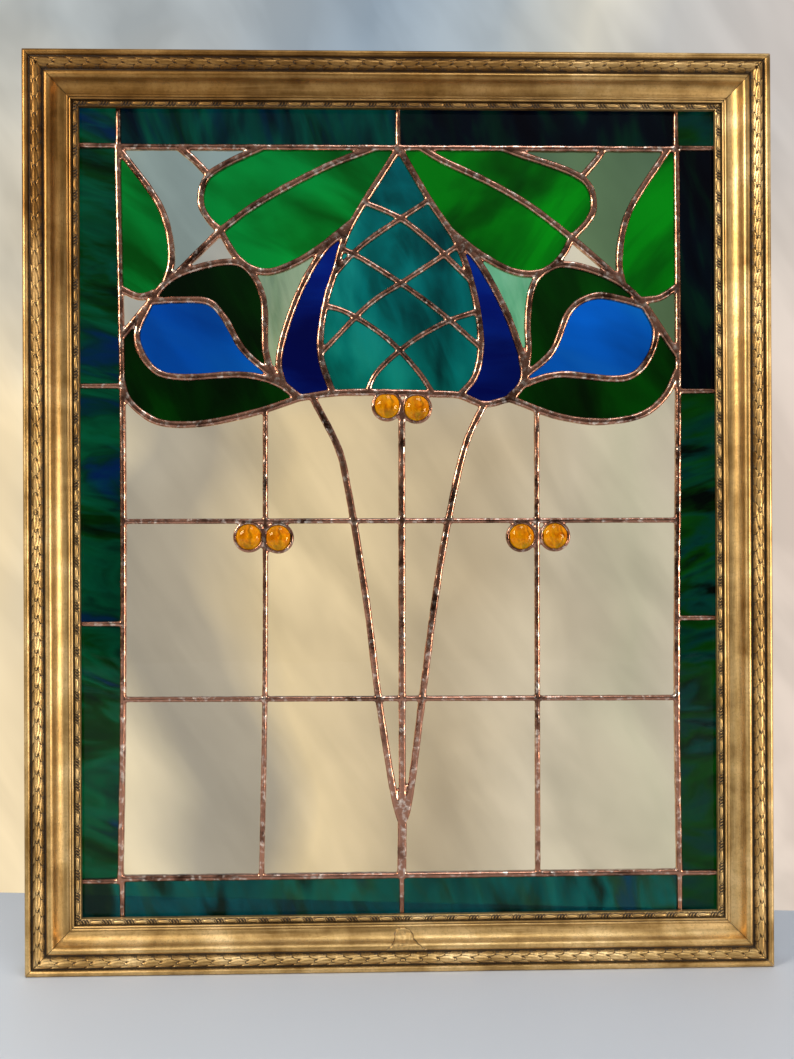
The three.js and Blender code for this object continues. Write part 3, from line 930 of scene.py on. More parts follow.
@dataclass(frozen=True)
class Cartoon:
    """Places the drawing's points and curves on the panel, in millimetres from the panel's middle."""

    sizes: PanelSizes = field(default_factory=PanelSizes)

    def place(self, point: Point) -> Vector:
        """Places a point of the cartoon on the panel.

        Args:
            point: The point on the cartoon.

        Returns:
            Its x and z from the panel's middle.
        """
        s = self.sizes
        return Vector((point[0] / s.cartoon_width * s.field_width,
                       (point[1] / s.cartoon_height - 0.5) * s.field_height))

    def seams(self, overrun: float = 0.0) -> list[tuple[Bead, list[Vector]]]:
        """Every seam as a smooth run of points.

        Args:
            overrun: How far the short seams across the border run past the panel's edge.

        Returns:
            Pairs of bead and path.
        """
        groups = ((Bead.BORDER, BORDER_SEAMS), (Bead.BAR, BAR_SEAMS), (Bead.STEM, STEM_SEAMS),
                  (Bead.JOINT, JOINT_SEAMS), (Bead.MOTIF, LEAF_SEAMS + PETAL_SEAMS + BUD_SEAMS),
                  (Bead.LATTICE, LATTICE_SEAMS))
        paths = [(bead, self.curve([self.place(p) for p in seam]))
                 for bead, seams in groups for seam in seams]
        edge_x = self.sizes.width / 2 + overrun
        edge_z = self.sizes.height / 2 + overrun
        for points, ends in ((CROSSES_UP, (None, edge_z)), (CROSSES_DOWN, (None, -edge_z)),
                             (CROSSES_LEFT, (-edge_x, None)), (CROSSES_RIGHT, (edge_x, None))):
            for point in points:
                start = self.place(point)
                end = [own if edge is None else edge for own, edge in zip(start, ends)]
                paths.append((Bead.CROSS, [start, Vector(end)]))
        return paths

    def gem_centres(self) -> dict[str, Vector]:
        """Where each gem's middle is."""
        return {name: self.place(seam) - Vector((0, drop)) for name, (seam, drop) in GEMS.items()}

    @staticmethod
    def curve(points: list[Vector], samples: int = 14) -> list[Vector]:
        """A centripetal spline through the points.

        Args:
            points: The points, in order.
            samples: Lengths to each span.

        Returns:
            The dense run of points.
        """
        if len(points) == 2:
            return points
        padded = [2 * points[0] - points[1], *points, 2 * points[-1] - points[-2]]
        run = [points[0]]
        for i in range(1, len(padded) - 2):
            p0, p1, p2, p3 = padded[i - 1:i + 3]
            d0, d1, d2 = (math.sqrt((b - a).length) for a, b in ((p0, p1), (p1, p2), (p2, p3)))
            t1 = ((p1 - p0) / d0 - (p2 - p0) / (d0 + d1) + (p2 - p1) / d1) * d1
            t2 = ((p2 - p1) / d1 - (p3 - p1) / (d1 + d2) + (p3 - p2) / d2) * d1
            for k in range(1, samples + 1):
                t = k / samples
                run.append(p1 * (2 * t ** 3 - 3 * t ** 2 + 1) + t1 * (t ** 3 - 2 * t ** 2 + t)
                           + p2 * (3 * t ** 2 - 2 * t ** 3) + t2 * (t ** 3 - t ** 2))
        return run

    @staticmethod
    def circle(centre: Vector, radius: float, sides: int = 40) -> list[Vector]:
        """A closed ring of points, with the first one repeated at its end."""
        turns = [2 * math.pi * i / sides for i in range(sides + 1)]
        return [centre + radius * Vector((math.cos(turn), math.sin(turn))) for turn in turns]

    @staticmethod
    def is_closed(path: list[Vector]) -> bool:
        """Whether a path ends where it starts."""
        return (path[0] - path[-1]).length < SAME_PLACE


@dataclass
class SolderNetwork:
    """The solder beads on both faces and the gems' rings, run together in one body."""

    sizes: PanelSizes = field(default_factory=PanelSizes)
    voxel: float = 0.62
    quick_voxel: float = 1.0
    step: float = 1.3
    unevenness: float = 0.07
    ring_unevenness: float = 0.03
    swells: float = 95.0
    rounding: float = 0.46
    short_of_edge: float = 0.3
    triangles: int = 185_000

    def bead_tree(self) -> GrowthTree:
        """A tree that lays a rounded bead along lines drawn in the flat.

        Returns:
            The tree.
        """
        tree = GrowthTree("solder_bead")
        width = tree.named("Bead width", "Float", 0.0038)
        depth = tree.named("Bead depth", "Float", 0.0062)
        rounding = tree.named("Rounding", "Float", 0.0014)
        step = tree.named("Step", "Float", 0.0013)
        uneven = tree.named("Unevenness", "Float", 0.05)
        seed = tree.named("Seed", "Float", 1.0)
        solder = tree.named("Solder", "Material")
        line = tree.node("GeometryNodeMeshToCurve", {"Mesh": tree.start.outputs["Geometry"]})
        even = tree.node("GeometryNodeResampleCurve", {"Curve": line.outputs[0], "Length": step},
                         mode="LENGTH")
        upright = tree.node("GeometryNodeSetCurveNormal", {"Curve": even.outputs[0]}, mode="Z_UP")
        section = tree.node("GeometryNodeCurvePrimitiveQuadrilateral", {"Width": width, "Height": depth})
        rounded = tree.node("GeometryNodeFilletCurve",
                            {"Curve": section.outputs[0], "Count": 4, "Radius": rounding}, mode="POLY")
        where = tree.node("GeometryNodeInputPosition")
        waves = tree.noise(where.outputs[0], self.swells, 2.0, seed=seed)
        thin, thick = tree.maths("SUBTRACT", 1.0, uneven), tree.maths("ADD", 1.0, uneven)
        swell = tree.spread(waves, thin, thick, 0.3, 0.7)
        bead = tree.node("GeometryNodeCurveToMesh",
                         {"Curve": upright.outputs[0], "Profile Curve": rounded.outputs[0],
                          "Scale": swell, "Fill Caps": True})
        s = self.sizes
        stood = tree.node("GeometryNodeTransform",
                          {"Geometry": bead.outputs[0], "Rotation": Euler((math.pi / 2, 0, 0)),
                           "Translation": (0, -s.set_back * MM, s.centre_z * MM)})
        tree.finish(stood.outputs[0], solder)
        return tree

    def line_mesh(self, paths: list[list[Vector]]) -> bpy.types.Mesh:
        """Draws paths as loose edges, flat in XY, with closed paths closed.

        Args:
            paths: The paths, in millimetres.

        Returns:
            The mesh, in metres.
        """
        points: list[Vector] = []
        edges: list[tuple[int, int]] = []
        for path in paths:
            first = len(points)
            closed = Cartoon.is_closed(path)
            run = path[:-1] if closed else path
            points += [Vector((p.x, p.y, 0)) * MM for p in run]
            edges += [(first + i, first + i + 1) for i in range(len(run) - 1)]
            if closed:
                edges.append((first + len(run) - 1, first))
        return mesh_from("bead_lines", points, edges)

    def build(self, cartoon: Cartoon, finish: PatinatedSolder) -> bpy.types.Object:
        """Builds the network.

        Args:
            cartoon: The drawing.
            finish: The solder's finish.

        Returns:
            The network's object.
        """
        s = self.sizes
        tree = self.bead_tree()
        material = finish.material()
        lines: dict[Bead, list[list[Vector]]] = {bead: [] for bead in Bead}
        for bead, path in cartoon.seams(-self.short_of_edge):
            lines[bead].append(path)
        jobs = [(bead.laid, paths, self.unevenness) for bead, paths in lines.items()]
        ring = (s.ring_inner + s.ring_outer) / 2
        rings = [cartoon.circle(centre, ring) for centre in cartoon.gem_centres().values()]
        jobs.append((s.ring_outer - s.ring_inner, rings, self.ring_unevenness))
        meshes = []
        for number, (width, paths, uneven) in enumerate(jobs):
            rounding = min(s.bead_height, self.rounding * width)
            meshes.append(tree.grow(f"beads_{number}", self.line_mesh(paths), Bead_width=width * MM,
                                    Bead_depth=2 * s.bead_top * MM, Rounding=rounding * MM,
                                    Step=self.step * MM, Unevenness=uneven, Seed=float(number),
                                    Solder=material))
        obj = new_object("solder_beads", joined("solder_beads", meshes))
        self.fuse(obj, material)
        obj.name = "solder_network"
        return obj

    def fuse(self, obj: bpy.types.Object, material: bpy.types.Material) -> None:
        """Melts the crossing beads into one skin and thins it.

        Args:
            obj: The beads.
            material: Their material, put on again.
        """
        remesh = obj.modifiers.new("melt", "REMESH")
        remesh.mode = "VOXEL"
        remesh.voxel_size = self.voxel * MM
        settle = obj.modifiers.new("settle", "SMOOTH")
        settle.factor = 0.5
        settle.iterations = 2
        melted = evaluated_mesh(obj)
        obj.data = melted
        count = sum(len(p.vertices) - 2 for p in melted.polygons)
        thin = obj.modifiers.new("thin", "DECIMATE")
        thin.ratio = min(1.0, self.triangles / count)
        obj.data = evaluated_mesh(obj)
        obj.data.materials.clear()
        obj.data.materials.append(material)
        shade_smooth(obj.data)


@dataclass(frozen=True)
class Pane:
    """One pane: where it lies on the cartoon, its finish and the node it stands for."""

    seed: Point
    finish: GlassFinish
    node: str


# Where each pane lies on the cartoon, and its glass
PANES: dict[str, tuple[Point, GlassFinish]] = {
    "border_corner_top_left": ((-185, 465), BORDER_LEFT),
    "border_corner_top_right": ((185, 465), BORDER_RIGHT),
    "border_corner_bottom_left": ((-185, -12), BORDER_BOTTOM),
    "border_corner_bottom_right": ((185, -12), BORDER_RIGHT),
    "border_top_left": ((-90, 465), BORDER_TOP),
    "border_top_right": ((90, 465), BORDER_NIGHT),
    "border_bottom_left": ((-90, -12), BORDER_BOTTOM),
    "border_bottom_right": ((90, -12), BORDER_BOTTOM),
    "border_left_upper": ((-188, 380), BORDER_LEFT),
    "border_left_middle": ((-188, 230), BORDER_LEFT),
    "border_left_lower": ((-188, 80), BORDER_LEFT),
    "border_right_upper": ((188, 380), BORDER_NIGHT),
    "border_right_middle": ((188, 230), BORDER_RIGHT),
    "border_right_lower": ((188, 80), BORDER_RIGHT),
    "corner_leaf_left": ((-161, 396), LEAF_LEFT),
    "corner_leaf_right": ((160, 402), LEAF_RIGHT),
    "leaf_upper_left": ((-86, 436), LEAF_LEFT),
    "leaf_upper_right": ((101, 427), LEAF_RIGHT),
    "leaf_lower_left": ((-74, 402), LEAF_LEFT),
    "leaf_lower_right": ((76, 399), LEAF_RIGHT),
    "petal_upper_left": ((-123, 371), PETAL),
    "petal_upper_right": ((126, 371), PETAL),
    "petal_lower_left": ((-130, 296), PETAL),
    "petal_lower_right": ((132, 298), PETAL),
    "petal_drop_left": ((-130, 337), DROP),
    "petal_drop_right": ((132, 337), DROP),
    "bud_side_left": ((-58, 346), BUD_SIDE),
    "bud_side_right": ((59, 346), BUD_SIDE),
    "clear_by_corner_leaf_left": ((-133, 408), CLEAR_COOL),
    "clear_by_corner_leaf_right": ((131, 409), CLEAR_IN_GREEN_SHADOW),
    "clear_above_leaf_left": ((-117, 446), CLEAR_COOL),
    "clear_above_leaf_right": ((106, 446), CLEAR_IN_GREEN_SHADOW),
    "clear_under_leaf_left": ((-115, 387), CLEAR),
    "clear_under_leaf_right": ((114, 386), CLEAR),
    "clear_by_border_left": ((-169, 352), CLEAR),
    "clear_by_border_right": ((168, 346), CLEAR_IN_GREEN_SHADOW),
    "wedge_left": ((-71.5, 358), WEDGE_LEFT),
    "wedge_right": ((68, 366), WEDGE_RIGHT),
    "pane_outer_left_top": ((-130, 253), CLEAR),
    "pane_outer_left_middle": ((-130, 166), CLEAR),
    "pane_outer_left_bottom": ((-130, 55), CLEAR),
    "pane_outer_right_top": ((130, 253), CLEAR),
    "pane_outer_right_middle": ((130, 166), CLEAR),
    "pane_outer_right_bottom": ((130, 55), CLEAR),
}
# The clear panes that share a node, three to a column, from the top
COLUMNS: dict[str, tuple[Point, Point, Point]] = {
    "pane_column_beside_left_stem": ((-64, 262), (-55, 166), (-50, 60)),
    "pane_column_beside_right_stem": ((64, 262), (55, 166), (50, 60)),
    "pane_column_between_stems_left": ((-20, 250), (-8, 166), (-4, 85)),
    "pane_column_between_stems_right": ((18, 250), (9, 166), (4.8, 85)),
}


def named_panes() -> dict[str, Pane]:
    """Every named pane but the lattice's, which are found by their place.

    Returns:
        The panes by name, in the order they are taken from the sheet.
    """
    panes = {name: Pane(seed, finish, name) for name, (seed, finish) in PANES.items()}
    for node, seeds in COLUMNS.items():
        stem = node.replace("pane_column", "pane")
        for level, seed in zip(("top", "middle", "bottom"), seeds):
            panes[f"{stem}_{level}"] = Pane(seed, CLEAR, node)
    return panes


@dataclass
class GlassPanes:
    """Every pane, cut out of one sheet along the seams."""

    sizes: PanelSizes = field(default_factory=PanelSizes)
    bedding: float = 0.3
    overrun: float = 2.0
    lattice_panes: int = 14
    lattice_row: float = 6.0
    smallest: float = 15.0
    materials: dict[str, bpy.types.Material] = field(default_factory=dict)

    def stroke(self, path: list[Vector], width: float, depth: float) -> bpy.types.Mesh:
        """A flat-sided cutter laid along a path.

        Args:
            path: Points in the panel's plane, in millimetres from its middle.
            width: The cut's width.
            depth: Half the cut's depth.

        Returns:
            The cutter's mesh, in metres, in place.
        """
        closed = Cartoon.is_closed(path)
        run = self.thinned(path)
        run = run[:-1] if closed else run
        sides = []
        for i, point in enumerate(run):
            before = run[i - 1] if i or closed else None
            after = run[(i + 1) % len(run)] if i + 1 < len(run) or closed else None
            legs = [(b - a).normalized() for a, b in ((before, point), (point, after))
                    if a is not None and b is not None]
            normals = [Vector((leg.y, -leg.x)) for leg in legs]
            side = normals[0]
            if len(normals) == 2:
                side = (normals[0] + normals[1]) / (1 + normals[0].dot(normals[1]))
            sides.append(side * width / 2)
        corners = ((-1, -depth), (1, -depth), (1, depth), (-1, depth))
        points = [self.at(point + across * side, y)
                  for point, side in zip(run, sides) for across, y in corners]
        count = len(run)
        faces = []
        for i in range(count if closed else count - 1):
            a, b = 4 * i, 4 * ((i + 1) % count)
            faces += [(a + k, a + (k + 1) % 4, b + (k + 1) % 4, b + k) for k in range(4)]
        if not closed:
            faces += [(3, 2, 1, 0), tuple(4 * (count - 1) + k for k in range(4))]
        return outward(mesh_from("stroke", points, faces=faces))

    def at(self, point: Vector, y: float) -> Vector:
        """A place in the panel, in metres."""
        return Vector((point.x, y - self.sizes.set_back, point.y + self.sizes.centre_z)) * MM

    def thinned(self, path: list[Vector], error: float = 0.02) -> list[Vector]:
        """Keeps only the points of a dense line that it needs.

        Args:
            path: The points.
            error: How far the new line may leave the old one, in millimetres.

        Returns:
            The points kept.
        """
        if len(path) < 3 or Cartoon.is_closed(path):
            return path
        chord = (path[-1] - path[0]).normalized()
        gaps = [abs(chord.cross(p - path[0])) for p in path]
        worst = gaps.index(max(gaps))
        if gaps[worst] < error:
            return [path[0], path[-1]]
        return self.thinned(path[:worst + 1], error)[:-1] + self.thinned(path[worst:], error)

    def disc(self, centre: Vector, radius: float, depth: float, sides: int = 40) -> bpy.types.Mesh:
        """A round cutter.

        Args:
            centre: Its middle, in the panel's plane.
            radius: Its radius.
            depth: Half its depth.
            sides: How many sides it has.

        Returns:
            The cutter's mesh, in metres, in place.
        """
        ring = Cartoon.circle(centre, radius, sides)[:-1]
        points = [self.at(p, y) for y in (-depth, depth) for p in ring]
        faces = [tuple(range(sides)), tuple(range(2 * sides - 1, sides - 1, -1))]
        faces += [(i, (i + 1) % sides, sides + (i + 1) % sides, sides + i) for i in range(sides)]
        return outward(mesh_from("disc", points, faces=faces))

    def sheet(self) -> bpy.types.Object:
        """The uncut sheet.

        Returns:
            Its object.
        """
        s = self.sizes
        signs = ((-1, -1), (1, -1), (1, 1), (-1, 1))
        corners = [Vector((x * s.width / 2, z * s.height / 2)) for x, z in signs]
        front, back = ([self.at(corner, y) for corner in corners] for y in (-s.glass / 2, s.glass / 2))
        return new_object("glass_sheet", slab("glass_sheet", front, back))

    def cut(self, cartoon: Cartoon) -> bpy.types.Mesh:
        """Cuts the sheet along every seam and round every gem.

        Args:
            cartoon: The drawing.

        Returns:
            The loose panes, all in one mesh.
        """
        s = self.sizes
        sheet = self.sheet()
        cutters = [self.stroke(path, bead.width - 2 * self.bedding, s.glass)
                   for bead, path in cartoon.seams(self.overrun)]
        hole = s.ring_outer - self.bedding
        cutters += [self.disc(centre, hole, s.glass) for centre in cartoon.gem_centres().values()]
        for cutter in cutters:
            tool = new_object("cutter", cutter)
            modifier = sheet.modifiers.new("cut", "BOOLEAN")
            modifier.operation = "DIFFERENCE"
            modifier.solver = "MANIFOLD"
            modifier.object = tool
            result = evaluated_mesh(sheet)
            old = sheet.data
            sheet.data = result
            bpy.data.meshes.remove(old)
            remove(tool)
        mesh = sheet.data
        bpy.data.objects.remove(sheet)
        return mesh

    @staticmethod
    def islands(work: bmesh.types.BMesh) -> list[Faces]:
        """Parts a mesh into its loose parts.

        Args:
            work: The mesh.

        Returns:
            The faces of each part.
        """
        seen: set[int] = set()
        parts = []
        for face in work.faces:
            if face.index in seen:
                continue
            seen.add(face.index)
            part, queue = [], [face]
            while queue:
                current = queue.pop()
                part.append(current)
                for edge in current.edges:
                    for other in edge.link_faces:
                        if other.index not in seen:
                            seen.add(other.index)
                            queue.append(other)
            parts.append(part)
        return parts

    @staticmethod
    def front(part: Faces) -> Faces:
        """The faces of a loose part that look to the front."""
        return [face for face in part if face.normal.y < -0.9]

    def holds(self, part: Faces, point: Vector) -> bool:
        """Whether a point of the panel's plane lies in a pane's front.

        Args:
            part: The pane.
            point: The point, in millimetres from the panel's middle.

        Returns:
            True where it does.
        """
        x, z = point.x * MM, (point.y + self.sizes.centre_z) * MM
        inside = False
        for face in self.front(part):
            corners = [v.co for v in face.verts]
            for a, b in zip(corners, corners[1:] + corners[:1]):
                if (a.z > z) != (b.z > z) and x < a.x + (z - a.z) / (b.z - a.z) * (b.x - a.x):
                    inside = not inside
        return inside

    @staticmethod
    def middle(part: Faces) -> Vector:
        """The middle of a loose part."""
        return sum((face.calc_center_median() for face in part), Vector()) / len(part)

    def area(self, part: Faces) -> float:
        """The area of a loose part's front, in square millimetres."""
        return sum(face.calc_area() for face in self.front(part)) / MM ** 2

    def reading_order(self, part: Faces) -> tuple[int, float]:
        """Sorts loose parts row by row from the top, and from left to right in a row."""
        middle = self.middle(part)
        return -round(middle.z / (self.lattice_row * MM)), middle.x

    def lattice(self, parts: list[Faces]) -> list[Faces]:
        """Finds the bud's panes among those that no name has taken.

        Args:
            parts: The loose parts left.

        Returns:
            The bud's panes, in reading order.
        """
        low, high = (Vector(corner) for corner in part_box("bud_lattice"))
        found = []
        for part in parts:
            middle = self.middle(part)
            if self.area(part) > self.smallest and low.x < middle.x < high.x and low.z < middle.z < high.z:
                found.append(part)
        if len(found) != self.lattice_panes:
            raise ValueError(f"{len(found)} pieces of glass in the lattice")
        return sorted(found, key=self.reading_order)

    @staticmethod
    def mesh_of(name: str, part: Faces) -> bpy.types.Mesh:
        """Makes one loose part a mesh of its own.

        Args:
            name: The mesh's name.
            part: The part.

        Returns:
            The mesh.
        """
        numbers: dict[int, int] = {}
        points, faces = [], []
        for face in part:
            ring = []
            for vert in face.verts:
                if vert.index not in numbers:
                    numbers[vert.index] = len(points)
                    points.append(vert.co.copy())
                ring.append(numbers[vert.index])
            faces.append(ring)
        return mesh_from(name, points, faces=faces)

    def build(self, cartoon: Cartoon) -> list[tuple[bpy.types.Object, str, str]]:
        """Builds every pane.

        Args:
            cartoon: The drawing.

        Returns:
            The panes, each with the node it stands for and its slot.
        """
        work = bmesh.new()
        work.from_mesh(self.cut(cartoon))
        bmesh.ops.remove_doubles(work, verts=work.verts, dist=WELD)
        work.verts.index_update()
        work.faces.index_update()
        parts = self.islands(work)
        panes = []
        for name, pane in named_panes().items():
            point = cartoon.place(pane.seed)
            found = [i for i, part in enumerate(parts) if self.holds(part, point)]
            if len(found) != 1:
                raise ValueError(f"{len(found)} pieces of glass at {name}")
            obj = self.dressed(name, parts.pop(found[0]), pane.finish)
            panes.append((obj, pane.node, pane.finish.slot))
        for number, part in enumerate(self.lattice(parts), 1):
            obj = self.dressed(f"bud_lattice_pane_{number:02d}", part, LATTICE)
            panes.append((obj, "bud_lattice", LATTICE.slot))
        work.free()
        return panes

    def dressed(self, name: str, part: Faces, finish: GlassFinish) -> bpy.types.Object:
        """Makes a pane's object with its glass on it.

        Args:
            name: The pane's name.
            part: Its faces in the cut sheet.
            finish: Its glass.

        Returns:
            The pane.
        """
        if finish.name not in self.materials:
            self.materials[finish.name] = finish.material()
        obj = new_object(f"glass_{name}", self.mesh_of(name, part))
        obj.data.materials.append(self.materials[finish.name])
        return obj


@dataclass
class AmberGems:
    """Six pressed glass gems, flat behind and domed in front."""

    sizes: PanelSizes = field(default_factory=PanelSizes)
    sides: int = 40
    rings: int = 12
    bevel: float = 0.4
    lean: float = 0.35
    lean_turn: float = 2.1
    crease: float = 50.0

    def build(self, cartoon: Cartoon, finish: AmberGlass) -> list[tuple[bpy.types.Object, str]]:
        """Builds the gems.

        Args:
            cartoon: The drawing.
            finish: The gems' finish.

        Returns:
            The gems, each with the node it stands for.
        """
        material = finish.material()
        gems = []
        for number, (name, centre) in enumerate(cartoon.gem_centres().items()):
            lean = self.lean * math.sin(self.lean_turn * number)
            obj = new_object(f"domed_{name}", self.gem(centre, lean))
            obj.data.materials.append(material)
            shade_smooth(obj.data, self.crease)
            gems.append((obj, name))
        return gems

    def gem(self, centre: Vector, lean: float) -> bpy.types.Mesh:
        """One gem's mesh.

        Args:
            centre: Its middle, in the panel's plane.
            lean: How far the dome's crown lies off centre, in millimetres.

        Returns:
            The mesh, in metres, in place.
        """
        s = self.sizes
        crown, shoulder, back = s.glass / 2 - s.gem_thickness, -s.glass / 2, s.glass / 2
        profile = []
        for k in range(self.rings + 1):
            angle = math.pi / 2 * k / self.rings
            profile.append((s.gem_radius * math.sin(angle), shoulder + (crown - shoulder) * math.cos(angle)))
        profile += [(s.gem_radius, back - self.bevel), (s.gem_radius - self.bevel, back), (0.0, back)]
        points, rows = [], []
        for radius, y in profile:
            rise = (shoulder - y) / (shoulder - crown)
            shift = lean * max(0.0, rise)
            count = 1 if radius < SAME_PLACE else self.sides
            rows.append([len(points) + i for i in range(count)])
            for i in range(count):
                turn = 2 * math.pi * i / self.sides
                x = centre.x + shift + radius * math.cos(turn)
                z = centre.y + s.centre_z + radius * math.sin(turn)
                points.append(Vector((x, y - s.set_back, z)) * MM)
        faces = []
        for a, b in zip(rows, rows[1:]):
            for i in range(self.sides):
                j = (i + 1) % self.sides
                ring = [a[i % len(a)], a[j % len(a)], b[j % len(b)], b[i % len(b)]]
                faces.append(list(dict.fromkeys(ring)))
        return outward(mesh_from("gem", points, faces=faces))


# The frame

class RailPlace(Enum):
    """The four rails, each with its name and its quarter turns about the Y axis."""

    TOP = ("frame_rail_top", 0)
    RIGHT = ("frame_stile_right", 1)
    BOTTOM = ("frame_rail_bottom", 2)
    LEFT = ("frame_stile_left", 3)

    def __init__(self, node: str, turns: int) -> None:
        """Keeps the rail's node and its quarter turns."""
        self.node = node
        self.turns = turns

    @property
    def upright(self) -> bool:
        """Whether the rail is a stile."""
        return self.turns % 2 == 1


def bump_at(distance: float, half: float) -> float:
    """A smooth hump: 1 in the middle and 0 at half and beyond."""
    share = min(1.0, abs(distance) / half)
    return (1 - share * share) ** 1.5


@dataclass(frozen=True)
class CarvedBand:
    """A band along every rail: the round it is cut in, and the carved length that repeats."""

    pitch: float
    inner: float
    outer: float
    middle: float
    crown: float
    fall: float
    height: float
    columns: int
    rows: int
    root: float = 1.2
    edge_rise: float = 5.0
    wash_beside: float = 2.8
    wash_spared: float = 0.05
    wash_low: float = 0.42

    def base(self, across: float) -> float:
        """The round's height under the carving.

        Args:
            across: The place across the rail.

        Returns:
            The height from the flat back, in millimetres.
        """
        share = (across - self.middle) / (self.outer - self.middle)
        return self.crown - self.fall * share * share

    def relief(self, along: float, across: float) -> float:
        """The carving's height.

        Args:
            along: The place along the rail.
            across: The place across it.

        Returns:
            The height, from 0 to 1.
        """
        raise NotImplementedError

    def tile(self) -> bpy.types.Mesh:
        """One carved length as an open-ended tube, x along, y across, z up.

        Returns:
            The mesh, in metres.
        """
        points, hollows = [], []
        width = self.outer - self.inner
        places = [self.inner + width * j / self.rows for j in range(self.rows + 1)]
        edges = [min(1.0, self.edge_rise * min(j, self.rows - j) / self.rows)
                 for j in range(self.rows + 1)]
        cuts = [[edge * self.relief(self.pitch * i / self.columns, across)
                 for across, edge in zip(places, edges)] for i in range(self.columns)]
        for i in range(self.columns + 1):
            along = self.pitch * i / self.columns
            for j, (across, cut) in enumerate(zip(places, cuts[i % self.columns])):
                around = max(cuts[(i + di) % self.columns][min(max(j + dj, 0), self.rows)]
                             for di in (-1, 0, 1) for dj in (-1, 0, 1))
                points.append(Vector((along, across, self.base(across) + cut * self.height)) * MM)
                beside = self.wash_beside * max(0.0, around - cut - self.wash_spared)
                hollows.append(min(1.0, beside + self.wash_low * (1.0 - cut)))
            for across in (self.outer, self.inner):
                points.append(Vector((along, across, self.base(across) - self.root)) * MM)
                hollows.append(1.0)
        faces = tube_faces(self.rows + 3, self.columns)
        return keep_hollows(mesh_from("band_tile", points, faces=faces), hollows)


@dataclass(frozen=True)
class LaurelBand(CarvedBand):
    """The carved outer band: laurel leaves in three rows, each leaf over the next one's base."""

    pitch: float = 10.5
    inner: float = 4.75
    outer: float = 12.2
    middle: float = 8.475
    crown: float = 22.95
    fall: float = 2.2
    height: float = 2.0
    columns: int = 30
    rows: int = 22
    leaf_start: float = -0.6
    leaf_length: float = 11.6
    leaf_half: float = 1.95
    side_start: float = 4.6
    side_length: float = 10.8
    side_half: float = 1.35
    side_off: float = 1.75
    side_lean: float = 1.35
    side_height: float = 0.88
    berry_place: float = 11.2
    berry_half: Point = (0.95, 0.85)
    berry_height: float = 0.9

    @staticmethod
    def leaf(share: float, off: float, half: float) -> float:
        """A leaf's height, rising to its tip.

        Args:
            share: The place along the leaf, from 0 at its base to 1 at its tip.
            off: How far the place is from the leaf's mid-rib.
            half: The leaf's half width.

        Returns:
            The height, from 0 to 1.
        """
        if not 0.0 < share < 1.0:
            return 0.0
        taper = max(0.0, share - 0.5) / 0.5
        width = half * min(1.0, 0.72 + 0.6 * share) * math.sqrt(1.0 - taper ** 2.2)
        if abs(off) >= width:
            return 0.0
        crown = 0.26 + 0.74 * share ** 1.1
        return crown * (1.0 - 0.42 * (off / width) ** 2) - 0.12 * bump_at(off, 0.35)

    def relief(self, along: float, across: float) -> float:
        """The height of the leaves and berries, from 0 to 1.

        Args:
            along: The place along the rail.
            across: The place across it.

        Returns:
            The height of what is on top there.
        """
        v = across - self.middle
        height = 0.0
        for shift in (-self.pitch, 0.0, self.pitch):
            u = along + shift
            height = max(height, self.leaf((u - self.leaf_start) / self.leaf_length, v, self.leaf_half))
            share = (u - self.side_start) / self.side_length
            rib = self.side_off + self.side_lean * min(1.0, max(0.0, share)) ** 1.3
            height = max(height, self.side_height * self.leaf(share, abs(v) - rib, self.side_half))
            long, wide = self.berry_half
            berry = 1.0 - ((u - self.berry_place) / long) ** 2 - (v / wide) ** 2
            height = max(height, self.berry_height * max(0.0, berry) ** 0.5)
        return height


@dataclass(frozen=True)
class TongueBand(CarvedBand):
    """The carved inner band: a few slanted bars, then a long tongue in a thin rim, over and over."""

    pitch: float = 13.8
    inner: float = 28.5
    outer: float = 31.8
    middle: float = 29.9
    crown: float = 13.1
    fall: float = 0.75
    height: float = 1.0
    columns: int = 46
    rows: int = 12
    axis: float = 30.15
    bars: int = 3
    bar_start: float = 1.3
    bar_gap: float = 1.95
    bar_slant: float = 0.62
    bar_half: Point = (0.62, 1.75)
    tongue_place: float = 9.7
    tongue_half: Point = (3.7, 1.25)
    tongue_height: float = 0.75
    rim_half: Point = (4.1, 1.6)
    rim_width: float = 0.14
    rim_height: float = 0.5

    def relief(self, along: float, across: float) -> float:
        """The height of the bars, the tongue and its rim, from 0 to 1.

        Args:
            along: The place along the rail.
            across: The place across it.

        Returns:
            The height of what is on top there.
        """
        v = across - self.axis
        taper = bump_at(v, self.bar_half[1])
        height = 0.0
        for shift in (0.0, -self.pitch, self.pitch):
            u = along + shift
            for bar in range(self.bars):
                off = u - (self.bar_start + self.bar_gap * bar) - self.bar_slant * v
                height = max(height, taper * bump_at(off, self.bar_half[0]))
            u -= self.tongue_place
            tongue = 1.0 - (u / self.tongue_half[0]) ** 2 - (v / self.tongue_half[1]) ** 2
            height = max(height, self.tongue_height * max(0.0, tongue) ** 0.5)
            rim = abs(math.hypot(u / self.rim_half[0], v / self.rim_half[1]) - 1.0)
            height = max(height, self.rim_height * bump_at(rim, self.rim_width))
        return height


